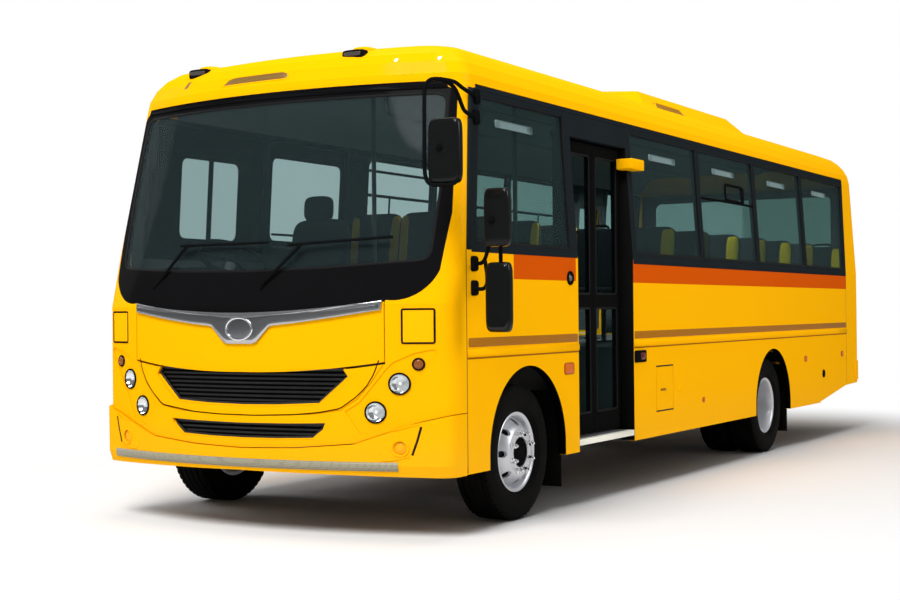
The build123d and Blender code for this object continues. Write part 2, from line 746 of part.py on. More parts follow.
def make_front_axle():
    """Dropped I-beam with a boss round each kingpin."""
    y = at(FRONT_AXLE)
    beam = block(-640, 640, y - 40, y + 40, 325, 343)
    beam = beam + block(-640, 640, y - 10, y + 10, 325, 425)
    beam = beam + block(-640, 640, y - 40, y + 40, 407, 425)
    for side in (-1, 1):
        rise = along_y(polygon([(620, 325), (620, 425), (KINGPIN_HALF - 20, 435),
                                (KINGPIN_HALF - 20, 361)]), y - 30, y + 30)
        boss = rod_z(44, 355, 441, KINGPIN_HALF, y)
        end = rise + boss
        beam = beam + (end if side > 0 else mirror_x(end))
        beam = beam - rod_z(KINGPIN_R + PIN_PLAY, 300, 500, side * KINGPIN_HALF, y)
        pad = block(SPRING_X - 45, SPRING_X + 45, y - 60, y + 60, 425, 444)
        beam = beam + (pad if side > 0 else mirror_x(pad))
    return beam


def make_knuckle(side):
    """Forked knuckle with its kingpin, stub axle, backing plate and steering arm."""
    y = at(FRONT_AXLE)
    x = KINGPIN_HALF
    knuckle = rod_z(KINGPIN_R, 330, 466, x, y)
    for z0, z1 in ((326, 352), (444, 470)):
        ear = rod_z(44, z0, z1, x, y) + block(x, x + 62, y - 44, y + 44, z0, z1)
        knuckle = knuckle + ear
    knuckle = knuckle + block(x + 50, x + 76, y - 48, y + 48, 326, 470)
    knuckle = knuckle + rod_x(STUB_R, x + 60, FRONT_TRACK_HALF + 60, y, TYRE_R)
    knuckle = knuckle + rod_x(150, x + 76, x + 84, y, TYRE_R)
    arm = block(x - 30, x + 30, y + 36, y + 200, 328, 350)
    knuckle = knuckle + arm
    return knuckle if side > 0 else mirror_x(knuckle)


def make_rear_axle():
    """Banjo housing with the final drive and spring pads."""
    y = at(REAR_AXLE)
    axle = rod_x(62, -640, 640, y, TYRE_R)
    axle = axle + rod_x(STUB_R, -1010, 1010, y, TYRE_R)
    axle = axle + Pos(0, y, TYRE_R) * Rot(0, 90, 0) * Cylinder(175, 130)
    axle = axle + Pos(0, y - 150, TYRE_R + 10) * Rot(90, 0, 0) * Cylinder(70, 110)
    for side in (-1, 1):
        pad = block(SPRING_X - 45, SPRING_X + 45, y - 70, y + 70, TYRE_R, 500)
        axle = axle + (pad if side > 0 else mirror_x(pad))
        plate = rod_x(150, 640, 652, y, TYRE_R)
        axle = axle + (plate if side > 0 else mirror_x(plate))
    return axle


# Tyre section: distance from the middle of the tread as a share of the half width, radius
TYRE_PROFILE = [(0.0, TYRE_R), (0.70, TYRE_R - 3), (0.88, TYRE_R - 16), (1.0, TYRE_R - 70),
                (0.97, TYRE_R - 110), (0.76, RIM_R + 4), (0.72, RIM_R - 12)]


def ring_about_x(points, x, y):
    """Solid of revolution about the wheel's axle from (axial, radial) points."""
    plane = Plane((x, y, TYRE_R), x_dir=(1, 0, 0), z_dir=(0, -1, 0))
    return revolve(plane * polygon(points), axis=Axis((x, y, TYRE_R), (1, 0, 0)))


def make_tyre(x, y):
    half = TYRE_W / 2
    right = [(a * half, r) for a, r in TYRE_PROFILE]
    left = [(-a, r) for a, r in reversed(right[1:])]
    return ring_about_x(right + left, x, y)


# Wheel section from (axial, radial) points, the disc leaning by lip towards its own side
def rim_points(disc_at, side, lip):
    seat = TYRE_W / 2 * 0.72
    points = [(seat, RIM_R - 12.5), (seat + 8, RIM_R - 0.5), (seat + 10, RIM_R - 8), (seat + 4, RIM_R - 24),
              (disc_at + lip, RIM_R - 30), (disc_at + lip * 0.35, 160), (disc_at, 120), (disc_at, HUB_R),
              (disc_at - 12, HUB_R), (disc_at - 12, 120), (disc_at - 12 + lip * 0.35, 156),
              (disc_at - 14 + lip, RIM_R - 36), (-seat - 2, RIM_R - 24), (-seat - 10, RIM_R - 8),
              (-seat - 8, RIM_R - 0.5), (-seat, RIM_R - 12.5), (-seat + 20, RIM_R - 18), (seat - 20, RIM_R - 18)]
    return [(side * a, r) for a, r in points]


HUB_R = 80.0
VENT_CIRCLE = 172.0
VENT_R = 17.0
HUB_BORE = STUB_R + PIN_PLAY


def wheel_disc(x, y, disc_at, side, lip):
    """Rim and disc in one, with ten round vents."""
    wheel = ring_about_x(rim_points(disc_at, side, lip), x, y)
    for number in range(10):
        turn = Pos(x + side * disc_at, y, TYRE_R) * Rot(36 * number, 0, 0)
        wheel = wheel - turn * Pos(0, 0, VENT_CIRCLE) * Rot(0, 90, 0) * Cylinder(VENT_R, 80)
    return wheel


def make_front_wheel(side):
    x = side * FRONT_TRACK_HALF
    y = at(FRONT_AXLE)
    disc_at = 62.0
    wheel = wheel_disc(x, y, disc_at, side, 12.0)
    hub = [(disc_at - 45, HUB_BORE), (disc_at - 45, 62), (disc_at - 12, 62), (disc_at - 12, HUB_R + 4),
           (disc_at, HUB_R + 4), (disc_at + 30, 62), (disc_at + 40, 50), (disc_at + 40, 0), (disc_at + 6, 0),
           (disc_at + 6, HUB_BORE)]
    hub = [(side * a, r) for a, r in hub]
    drum = [(disc_at - 12, 66), (disc_at - 12, 162), (-48, 162), (-48, 150), (disc_at - 26, 150),
            (disc_at - 26, 56)]
    drum = [(side * a, r) for a, r in drum]
    wheel = wheel + ring_about_x(hub, x, y)
    return wheel + ring_about_x(drum, x, y)


def make_rear_wheel(side):
    """Twin wheels, discs back to back, with hub and drum."""
    y = at(REAR_AXLE)
    middle = (REAR_OUTER_HALF + REAR_INNER_HALF) / 2
    outer = wheel_disc(side * REAR_OUTER_HALF, y, REAR_OUTER_HALF - middle, -side, -55.0)
    inner = wheel_disc(side * REAR_INNER_HALF, y, middle - REAR_INNER_HALF, side, -55.0)
    x = side * middle
    hub = [(-200, HUB_BORE), (-200, 66), (-20, 66), (-20, HUB_R + 10), (20, HUB_R + 10), (30, 70), (150, 62),
           (160, 50), (160, 0), (110, 0), (110, HUB_BORE)]
    hub = [(side * a, r) for a, r in hub]
    drum = [(-30, 64), (-30, 162), (-245, 162), (-245, 152), (-50, 152), (-50, 60)]
    drum = [(side * a, r) for a, r in drum]
    wheel = outer + inner + ring_about_x(hub, x, y)
    return wheel + ring_about_x(drum, x, y)


# ---- inside ----
SEAT_Z = 1400.0
SEAT_BACK_Z = 1975.0
BENCH_ROWS = {1: [2900, 3620, 4340, 5060, 5780, 6500], -1: [1900, 2620, 3340, 4060, 4780, 5500]}
BENCH_IN, BENCH_OUT = 240.0, 1110.0
REAR_BENCH = 7480.0


def bench(x0, x1, station):
    """Padded bench and back in one, seen from the side, extruded across."""
    face = side_face([(station, SEAT_Z - 90), (station, SEAT_Z), (station + 400, SEAT_Z - 15),
                      (station + 480, SEAT_BACK_Z - 60), (station + 505, SEAT_BACK_Z),
                      (station + 555, SEAT_BACK_Z), (station + 560, SEAT_BACK_Z - 60),
                      (station + 470, SEAT_Z - 60), (station + 430, SEAT_Z - 100)])
    return along_x(face, x0, x1)


def bench_frame(x0, x1, station):
    """Two legs and a cross tube below a bench."""
    frame = block(x0 + 30, x1 - 30, at(station + 200), at(station + 240), SEAT_Z - 130, SEAT_Z - 98)
    for x in (x0 + 60, x1 - 90):
        frame = frame + block(x, x + 30, at(station + 205), at(station + 235), FLOOR_TOP, SEAT_Z - 100)
        frame = frame + block(x, x + 30, at(station + 60), at(station + 400), SEAT_Z - 120, SEAT_Z - 101)
        frame = frame + block(x, x + 30, at(station + 80), at(station + 360), FLOOR_TOP, FLOOR_TOP + 12)
    return frame


def bench_places():
    places = []
    for side, rows in BENCH_ROWS.items():
        for station in rows:
            x0, x1 = (BENCH_IN, BENCH_OUT) if side > 0 else (-BENCH_OUT, -BENCH_IN)
            places.append((x0, x1, station))
    places.append((-BENCH_OUT, BENCH_OUT, REAR_BENCH))
    return places


def make_seats():
    return [bench(*place) for place in bench_places()]


def make_seat_frames():
    return [bench_frame(*place) for place in bench_places()]


DRIVER_X = -690.0


def make_driver_seat():
    seat = along_x(side_face([(880, 1340), (880, 1450), (1290, 1440), (1370, 2050), (1440, 2050),
                              (1400, 1340)]), DRIVER_X - 240, DRIVER_X + 240)
    head = block(DRIVER_X - 130, DRIVER_X + 130, at(1372), at(1460), 2045, 2200)
    base = block(DRIVER_X - 150, DRIVER_X + 150, at(960), at(1330), FLOOR_TOP, 1345)
    return seat + head + base


def make_dashboard():
    """Full-width dashboard with the steering column and engine hump behind it."""
    face = side_face([(-230, 1250), (-250, 1400), (-60, 1445), (150, 1425), (190, 1340), (120, 1150),
                      (60, FLOOR_TOP), (-230, FLOOR_TOP)])
    board = along_x(face, -1150, 1150) & mould(WALL + 2)
    return board


def make_engine_cover():
    outer = along_x(side_face([(192, FLOOR_TOP), (192, 1230), (700, 1180), (778, FLOOR_TOP)]), -345, 345)
    inner = along_x(side_face([(100, 900), (100, 1212), (686, 1162), (758, 900)]), -327, 327)
    return outer - inner


COLUMN_TILT = -30.0
WHEEL_HUB = (DRIVER_X, 400.0, 1560.0)     # x, station, z of the steering wheel's centre
HANDWHEEL_R = 225.0


def column_place():
    x, station, z = WHEEL_HUB
    return Pos(x, at(station), z) * Rot(COLUMN_TILT, 0, 0)


def make_steering_wheel():
    """Rim, three spokes and boss."""
    rim = Torus(HANDWHEEL_R, 15)
    boss = Cylinder(50, 36)
    wheel = rim + boss
    for angle in (90, 210, 330):
        spoke = Rot(0, 0, angle) * Pos(HANDWHEEL_R / 2 + 15, 0, 0) * Box(HANDWHEEL_R - 30, 32, 12)
        wheel = wheel + spoke
    return column_place() * wheel


def make_steering_column():
    place = column_place()
    column = place * Pos(0, 0, -230) * Cylinder(34, 400)
    return column - make_dashboard()


# ---- mirrors, wipers, mudflaps ----
# Mirror heads: x0, x1, station, z0, z1
MIRROR_HEADS = [(1173, 1364, -300, 1894, 2240),
                (1350, 1500, -20, 1570, 1885), (1356, 1505, -20, 1112, 1488),
                (-1440, -1290, 430, 1570, 1885), (-1440, -1290, 430, 1190, 1488)]


def make_mirror_heads():
    heads = []
    for x0, x1, station, z0, z1 in MIRROR_HEADS:
        face = Pos((x0 + x1) / 2, (z0 + z1) / 2) * RectangleRounded(x1 - x0, z1 - z0, 28)
        heads.append(along_y(face, at(station - 25), at(station + 25)))
    return heads


ARM_R = 11.0
# Mirror arms, as chains of (x, station, z)
MIRROR_ARMS = [
    [(1168, 225, 2423), (1240, -50, 2428), (1291, -240, 2440), (1185, -318, 2457), (1160, -324, 2421),
     (1157, -324, 1950), (1170, -324, 1890), (1350, -324, 1884), (1364, -324, 1905)],
    [(1168, 205, 2306), (1243, -50, 2306), (1270, -190, 2420), (1240, -290, 2449)],
    [(1216, 88, 1486), (1420, 22, 1490), (1425, 16, 1860)],
    [(1216, 78, 1353), (1400, 22, 1345), (1425, 16, 1480)],
    [(-1216, 520, 1486), (-1360, 474, 1490), (-1365, 468, 1860)],
    [(-1216, 510, 1353), (-1350, 474, 1345), (-1365, 468, 1480)],
]


def tube_between(p, q, radius):
    start = Vector(p[0], at(p[1]), p[2])
    end = Vector(q[0], at(q[1]), q[2])
    plane = Plane(origin=start, z_dir=end - start)
    return plane * Pos(0, 0, (end - start).length / 2) * Cylinder(radius, (end - start).length)


def tube_chain(chain, radius):
    tube = None
    for p, q in zip(chain, chain[1:]):
        piece = tube_between(p, q, radius)
        tube = piece if tube is None else tube + piece
    for p in chain[1:-1]:
        tube = tube + Pos(p[0], at(p[1]), p[2]) * Sphere(radius)
    return tube


def make_mirror_arms():
    arms = []
    groups = ((0, 1), (2, 3), (4, 5))
    for group in groups:
        arm = None
        for number in group:
            tube = tube_chain(MIRROR_ARMS[number], ARM_R)
            arm = tube if arm is None else arm + tube
        arms.append(arm)
    heads = make_mirror_heads()
    seated = []
    for arm in arms:
        arm = arm - mould(0)
        for head in heads:
            arm = arm - head
        seated.append(arm)
    return seated


# Wipers: pivot, elbow of the arm, blade ends, as (x, station, z)
WIPERS = [
    [(-730, -296, 1376), (-440, -336, 1617), (-494, -322, 1619), (162, -362, 1619)],
    [(128, -392, 1378), (373, -350, 1599), (294, -358, 1601), (900, -236, 1632)],
]


def make_wipers():
    wipers = []
    for pivot, tip, blade0, blade1 in WIPERS:
        arm = tube_chain([pivot, tip], 9)
        blade = tube_chain([blade0, blade1], 8)
        boss = tube_between(pivot, (pivot[0], pivot[1] + 60, pivot[2] - 15), 16)
        wipers.append((arm + blade + boss) - mould(0))
    return wipers


MUDFLAPS = [(900, 1172, 1260, 140, 730), (640, 1172, 5850, 140, 730)]


def make_mudflaps():
    flaps = []
    for x0, x1, station, z0, z1 in MUDFLAPS:
        flap = block(x0, x1, at(station - 4), at(station + 4), z0, z1)
        flaps += [flap, mirror_x(flap)]
    return flaps


def write(name, shape):
    """Write one sub-part, a solid or a list of separate solids."""
    solids = []
    for piece in (shape if isinstance(shape, (list, tuple)) else [shape]):
        solids += piece.solids()
    export_step(Compound(children=solids) if len(solids) > 1 else solids[0], f"parts/{name}.step")


def main():
    os.makedirs("parts", exist_ok=True)
    root_parts = {
        "chassis_frame": make_chassis_frame, "front_axle": make_front_axle, "rear_axle": make_rear_axle,
        "leaf_springs": make_leaf_springs, "engine": make_engine, "propeller_shaft": make_propeller_shaft,
        "fuel_tank": make_fuel_tank, "floor": make_floor, "roof": make_roof,
        "roof_pod": make_roof_pod, "roof_markers": make_roof_markers,
        "marker_fairings": make_marker_fairings, "door_step": make_door_step, "nose_panel": make_nose_panel, "front_bumper": make_front_bumper,
        "windscreen_surround": make_windscreen_surround, "windscreen": make_windscreen,
        "grilles": make_grilles, "lamps": make_lamps, "mirror_arms": make_mirror_arms,
        "mirror_heads": make_mirror_heads, "wipers": make_wipers, "door_frame": make_door_frame,
        "rear_wall": make_rear_wall, "rear_glass": make_rear_glass, "rear_bumper": make_rear_bumper,
        "seats": make_seats, "seat_frames": make_seat_frames, "driver_seat": make_driver_seat,
        "dashboard": make_dashboard, "engine_cover": make_engine_cover,
        "steering_column": make_steering_column, "mudflaps": make_mudflaps,
        "tool_locker": make_tool_locker, "side_glass": make_side_glass,
        "front_flap": make_front_flap, "trim_bar": make_trim_bar,
        "emergency_door": make_emergency_door, "emergency_glass": make_emergency_glass,
        "tool_lid": make_tool_lid, "steering_wheel": make_steering_wheel,
    }
    for name, maker in root_parts.items():
        write(name, maker())
    for name, ends in (("front", LEAF_FRONT), ("rear", LEAF_REAR)):
        write(f"door_leaf_{name}", leaf_solid(*ends))
        write(f"door_glass_{name}", leaf_panes(*ends))
    for name, side in (("left", 1), ("right", -1)):
        write(f"side_wall_{name}", make_side_wall(side))
        write(f"window_frame_{name}", make_window_frame(side))
        write(f"knuckle_{name}", make_knuckle(side))
        write(f"wheel_front_{name}", make_front_wheel(side))
        write(f"wheel_rear_{name}", make_rear_wheel(side))
        write(f"tyre_front_{name}", make_tyre(side * FRONT_TRACK_HALF, at(FRONT_AXLE)))
        write(f"tyres_rear_{name}", [make_tyre(side * REAR_OUTER_HALF, at(REAR_AXLE)),
                                     make_tyre(side * REAR_INNER_HALF, at(REAR_AXLE))])


if __name__ == "__main__":
    main()
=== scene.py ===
"""Visual model of a school bus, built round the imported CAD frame.

Every surface that is added here is a function of two parameters on a grid, or a profile carried
along a path, worked out as whole numpy arrays. Materials are procedural. Lengths are in metres.
"""
from __future__ import annotations

import json
import logging
import math
from dataclasses import dataclass, field
from enum import Enum
from typing import Callable, Iterable, Sequence, Union

import bmesh
import bpy
import numpy as np
from mathutils import Matrix, Vector

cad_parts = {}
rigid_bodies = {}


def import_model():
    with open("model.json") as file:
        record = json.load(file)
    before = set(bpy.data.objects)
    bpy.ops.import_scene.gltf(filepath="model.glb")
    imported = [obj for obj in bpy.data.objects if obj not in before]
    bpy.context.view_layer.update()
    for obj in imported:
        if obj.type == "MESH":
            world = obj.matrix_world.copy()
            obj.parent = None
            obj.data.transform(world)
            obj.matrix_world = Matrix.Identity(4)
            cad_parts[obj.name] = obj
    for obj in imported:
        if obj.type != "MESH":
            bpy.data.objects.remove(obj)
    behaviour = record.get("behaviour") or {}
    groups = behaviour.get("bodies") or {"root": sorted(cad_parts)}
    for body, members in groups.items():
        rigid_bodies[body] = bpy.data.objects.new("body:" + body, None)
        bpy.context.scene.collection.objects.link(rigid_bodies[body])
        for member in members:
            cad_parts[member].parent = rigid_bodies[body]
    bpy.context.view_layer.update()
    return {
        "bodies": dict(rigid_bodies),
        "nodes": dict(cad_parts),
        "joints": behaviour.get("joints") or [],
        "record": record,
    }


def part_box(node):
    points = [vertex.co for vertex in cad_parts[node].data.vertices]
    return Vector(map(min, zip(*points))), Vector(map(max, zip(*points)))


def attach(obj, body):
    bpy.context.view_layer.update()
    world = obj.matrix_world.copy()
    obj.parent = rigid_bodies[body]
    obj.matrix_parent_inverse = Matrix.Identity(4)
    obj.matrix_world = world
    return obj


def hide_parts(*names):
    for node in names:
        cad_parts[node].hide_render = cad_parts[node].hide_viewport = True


LOG = logging.getLogger("school_bus")

SEAM_Y = -3.88             # station 0, the seam between nose and walls
AXLE_Z = 0.398             # height of all axles, which is the tyres' radius
FRONT_AXLE = 0.735         # stations of the axles
REAR_AXLE = 5.345
WALL_FOOT = 0.343          # height of the side walls' lower edge
Color = tuple[float, float, float]
Quads = tuple[tuple[float, float, float, float], ...]
Place = tuple[float, float, float]
Pair = tuple[float, float]
Pairs = tuple[Pair, ...]
Profile = list[Pair]
Floats = Sequence[float]
Rows = Sequence[Floats]
Array = np.ndarray
Lift = Union[Array, float]
Piece = bpy.types.Object
Socket = bpy.types.NodeSocket
Material = bpy.types.Material


def at(station: float) -> float:
    """Y of a place given as a station, metres behind the nose seam."""
    return SEAM_Y + station


# ---------------------------------------------------------------- node material kit
class Nodes:
    """Thin builder of one procedural material on Object coordinates."""

    def __init__(self, name: str) -> None:
        """Start an empty material of that name with one Principled shader."""
        self.material = bpy.data.materials.new(name)
        self.material.use_nodes = True
        self.tree = self.material.node_tree
        self.tree.nodes.clear()
        self.output = self.add("ShaderNodeOutputMaterial")
        self.shader = self.add("ShaderNodeBsdfPrincipled")
        self.tree.links.new(self.shader.outputs[0], self.output.inputs["Surface"])
        self.coords = self.add("ShaderNodeTexCoord")

    def add(self, kind: str, **values: object) -> bpy.types.Node:
        """Add a node and set its properties or sockets by name."""
        node = self.tree.nodes.new(kind)
        for key, value in values.items():
            if hasattr(node, key):
                setattr(node, key, value)
            else:
                node.inputs[key.replace("_", " ")].default_value = value
        return node

    def link(self, source: Socket, node: bpy.types.Node, socket: str | int) -> None:
        """Join an output socket to a node's input."""
        self.tree.links.new(source, node.inputs[socket])

    def value(self, **values: float) -> None:
        """Set some of the shader's own sockets."""
        for socket, number in values.items():
            self.shader.inputs[socket.replace("_", " ")].default_value = number

    def paint(self, source: Socket) -> None:
        """Join a colour to the shader."""
        self.link(source, self.shader, "Base Color")

    def point(self) -> Socket:
        """Object coordinates."""
        return self.coords.outputs["Object"]

    def noise(self, scale: float, detail: float = 3.0, vector: object = None) -> Socket:
        """Noise value at a scale, on Object coordinates unless a vector is given."""
        node = self.add("ShaderNodeTexNoise", Scale=scale, Detail=detail)
        self.link(vector or self.point(), node, "Vector")
        return node.outputs["Fac"]

    def ramp(self, source: Socket, stops: Sequence[tuple[float, Color]]) -> Socket:
        """Colour ramp through (place, colour) stops."""
        node = self.add("ShaderNodeValToRGB")
        elements = node.color_ramp.elements
        while len(elements) < len(stops):
            elements.new(0.5)
        for element, (place, color) in zip(elements, stops):
            element.position = place
            element.color = (*color, 1.0)
        self.link(source, node, "Fac")
        return node.outputs["Color"]

    def math(self, kind: str, a: object, b: object = 0.0) -> Socket:
        """Math node of two values or sockets."""
        node = self.add("ShaderNodeMath", operation=kind)
        for number, item in enumerate((a, b)):
            if isinstance(item, (int, float)):
                node.inputs[number].default_value = item
            else:
                self.link(item, node, number)
        return node.outputs[0]

    def split(self) -> tuple[Socket, Socket, Socket]:
        """X, Y and Z of the Object coordinates."""
        node = self.add("ShaderNodeSeparateXYZ")
        self.link(self.point(), node, 0)
        return node.outputs[0], node.outputs[1], node.outputs[2]

    def mix(self, factor: object, a: object, b: object) -> Socket:
        """Mix two colours or sockets by a factor."""
        node = self.add("ShaderNodeMix", data_type="RGBA")
        for socket, item in ((node.inputs[0], factor), (node.inputs[6], a), (node.inputs[7], b)):
            if isinstance(item, Socket):
                self.tree.links.new(item, socket)
            elif isinstance(item, (int, float)):
                socket.default_value = item
            else:
                socket.default_value = (*item, 1.0)
        return node.outputs[2]

    def blend(self, factor: object, a: Socket, b: Socket) -> Socket:
        """Mix two shaders by a number or a socket."""
        node = self.add("ShaderNodeMixShader")
        if isinstance(factor, float):
            node.inputs[0].default_value = factor
        else:
            self.link(factor, node, 0)
        self.link(a, node, 1)
        self.link(b, node, 2)
        return node.outputs[0]

    def bump(self, height: Socket, strength: float, distance: float) -> None:
        """Bump the shader's normal by a height."""
        node = self.add("ShaderNodeBump", Strength=strength, Distance=distance)
        self.link(height, node, "Height")
        self.link(node.outputs[0], self.shader, "Normal")


# ---------------------------------------------------------------- meshes from arrays
def link_mesh(name: str, points: Array, faces: Array | list, uvs: Array | None = None,
        smooth: bool = True) -> Piece:
    """Make a linked object from points and faces.

    Args:
        name: The object's name.
        points: (n, 3) array of places in the bus's frame.
        faces: (m, k) array of corner numbers, or a list of such arrays.
        uvs: Optional (n, 2) array, one place in UV for each point.
        smooth: Whether the faces are shaded smooth.

    Returns:
        The new object, at the origin.
    """
    blocks = faces if isinstance(faces, list) else [faces]
    blocks = [block for block in blocks if len(block)]
    mesh = bpy.data.meshes.new(name)
    mesh.vertices.add(len(points))
    mesh.vertices.foreach_set("co", np.ascontiguousarray(points, np.float32).ravel())
    corners = np.concatenate([block.ravel() for block in blocks]).astype(np.int32)
    sizes = np.concatenate([np.full(len(block), block.shape[1]) for block in blocks]).astype(np.int32)
    starts = np.concatenate([[0], np.cumsum(sizes)[:-1]]).astype(np.int32)
    mesh.loops.add(len(corners))
    mesh.polygons.add(len(sizes))
    mesh.loops.foreach_set("vertex_index", corners)
    mesh.polygons.foreach_set("loop_start", starts)
    mesh.polygons.foreach_set("loop_total", sizes)
    mesh.polygons.foreach_set("use_smooth", np.full(len(sizes), smooth))
    if uvs is not None:
        layer = mesh.uv_layers.new(name="UVMap")
        layer.data.foreach_set("uv", np.ascontiguousarray(uvs[corners], np.float32).ravel())
    mesh.update(calc_edges=True)
    mesh.validate()
    obj = bpy.data.objects.new(name, mesh)
    bpy.context.scene.collection.objects.link(obj)
    return obj


def grid_faces(rows: int, columns: int, wrap_rows: bool = False, wrap_columns: bool = False,
        first: int = 0) -> Array:
    """Quads of a grid whose points are numbered row by row, optionally closed either way."""
    last_row = rows if wrap_rows else rows - 1
    last_column = columns if wrap_columns else columns - 1
    r, c = np.meshgrid(np.arange(last_row), np.arange(last_column), indexing="ij")
    r1, c1 = (r + 1) % rows, (c + 1) % columns
    quads = np.stack([r * columns + c, r1 * columns + c, r1 * columns + c1, r * columns + c1], -1)
    return quads.reshape(-1, 4) + first


def surface(name: str, points: Array, wrap_rows: bool = False, wrap_columns: bool = False, flip: bool = False,
        smooth: bool = True, cap: bool = False) -> Piece:
    """Object of a (rows, columns, 3) grid of points, with UVs along rows and columns.

    Args:
        name: The object's name.
        points: The grid.
        wrap_rows: Whether the last row joins the first.
        wrap_columns: Whether the last column joins the first.
        flip: Whether the faces' direction is turned round.
        smooth: Whether the faces are shaded smooth.
        cap: Whether the first and last rows are closed by a face each.

    Returns:
        The new object.
    """
    rows, columns = points.shape[:2]
    faces = grid_faces(rows, columns, wrap_rows, wrap_columns)
    blocks = [faces[:, ::-1] if flip else faces]
    if cap:
        ring = np.arange(columns)[None, :]
        start, end = ring[:, ::-1], ring + (rows - 1) * columns
        blocks += [start[:, ::-1], end[:, ::-1]] if not flip else [start, end]
    u, v = np.meshgrid(np.linspace(0, 1, rows), np.linspace(0, 1, columns), indexing="ij")
    return link_mesh(name, points.reshape(-1, 3), blocks, np.stack([u, v], -1).reshape(-1, 2), smooth)


def unit(vectors: Array) -> Array:
    """Vectors divided by their lengths."""
    return vectors / np.maximum(np.linalg.norm(vectors, axis=-1, keepdims=True), 1e-12)


def carry(path: Array, section: Array, up: Floats, closed: bool = False) -> Array:
    """Grid of a flat section carried along a path.

    Formula: point = path + section_x * side + section_y * top, where side = tangent x up and
    top = side x tangent.
    """
    if closed:
        tangent = unit(np.roll(path, -1, 0) - np.roll(path, 1, 0))
    else:
        tangent = unit(np.gradient(path, axis=0))
    side = unit(np.cross(tangent, np.asarray(up, float)))
    top = np.cross(side, tangent)
    return path[:, None] + section[None, :, :1] * side[:, None] + section[None, :, 1:] * top[:, None]


def xyz(x: object, y: object, z: object) -> Array:
    """Array of places from three parts that broadcast together."""
    return np.stack(np.broadcast_arrays(x, y, z), -1)


def turned(flat: Array) -> Array:
    """Plane vectors turned a quarter turn to the left."""
    return np.stack([-flat[:, 1], flat[:, 0]], -1)


def lengths_along(line: Array) -> Array:
    """Distance of each point along a polyline from its start."""
    return np.concatenate([[0], np.cumsum(np.linalg.norm(np.diff(line, axis=0), axis=1))])


def sampled(line: Array, along: Array, places: Array) -> Array:
    """Points of a polyline at distances from its start."""
    return np.stack([np.interp(places, along, part) for part in line.T], -1)


def circle(radius: float, sides: int) -> Array:
    """Points of a circle, radius * (cos, sin) of evenly spaced angles."""
    angle = np.linspace(0, 2 * math.pi, sides, endpoint=False)
    return radius * np.stack([np.cos(angle), np.sin(angle)], -1)


def tube(name: str, path: Rows, radius: float, sides: int = 12, up: Floats = (0.13, 0.21, 0.97),
        smooth_path: int = 0) -> Piece:
    """Round bar along a path, its corners eased by repeated averaging."""
    line = np.asarray(path, float)
    if smooth_path:
        line = eased(line, smooth_path)
    return surface(name, carry(line, circle(radius, sides), up), wrap_columns=True, cap=True, flip=True)


def eased(line: Array, passes: int, step: float = 0.02) -> Array:
    """Polyline cut into even steps and averaged with its neighbours, ends kept."""
    along = lengths_along(line)
    fine = sampled(line, along, np.linspace(0, along[-1], max(int(along[-1] / step), 4)))
    for _ in range(passes):
        fine[1:-1] = (fine[:-2] + fine[1:-1] * 2 + fine[2:]) / 4
    return fine


def lathe(name: str, profile: Rows, center: Floats, axis: Floats, segments: int = 64,
        closed: bool = False) -> Piece:
    """Solid of revolution: point = center + axial * axis + radial * (cos, sin) about it."""
    line = np.asarray(profile, float)
    direction = unit(np.asarray(axis, float))
    helper = np.array([0.0, 0.0, 1.0]) if abs(direction[2]) < 0.9 else np.array([1.0, 0.0, 0.0])
    side = unit(np.cross(direction, helper))
    top = np.cross(direction, side)
    angle = np.linspace(0, 2 * math.pi, segments, endpoint=False)
    spoke = np.cos(angle)[:, None] * side + np.sin(angle)[:, None] * top
    points = np.asarray(center) + line[None, :, :1] * direction + line[None, :, 1:] * spoke[:, None]
    return skin(name, points, wrap_rows=True, wrap_columns=closed)


def squircle(half_w: float, half_h: float, power: float, count: int) -> Array:
    """Rounded rectangle |x/w|^power + |y/h|^power = 1, by the signed-power formula."""
    angle = np.linspace(0, 2 * math.pi, count, endpoint=False)
    c, s = np.cos(angle), np.sin(angle)
    x = half_w * np.sign(c) * np.abs(c) ** (2 / power)
    y = half_h * np.sign(s) * np.abs(s) ** (2 / power)
    return np.stack([x, y], -1)


# ---------------------------------------------------------------- the bus's outer form
# Heights, half widths, nose stations, corner radii of the body's sections
SECTIONS = np.array([(0.2, 1.22, -0.41, 0.15), (1.27, 1.22, -0.41, 0.15), (1.565, 1.22, -0.336, 0.15),
    (2.475, 1.16, -0.109, 0.115), (2.55, 1.144, -0.098, 0.12), (2.62, 1.107, -0.068, 0.14),
    (2.675, 1.058, -0.025, 0.17), (2.715, 1.005, 0.035, 0.2)])
BUMPER_SECTIONS = np.array([(0.3, 1.214, -0.396, 0.12), (0.4, 1.22, -0.428, 0.105),
    (0.72, 1.22, -0.432, 0.105)])
PLAN_RADIUS = 3.1


def section_row(z: Array, sections: Array) -> tuple[Array, Array, Array]:
    """Half width, nose station and corner radius at each height, by straight interpolation."""
    return tuple(np.interp(z, sections[:, 0], sections[:, k]) for k in (1, 2, 3))


def paired(a: object, b: object) -> Sequence[Array]:
    """Two arrays brought to one shape."""
    return np.broadcast_arrays(np.asarray(a, float), np.asarray(b, float))


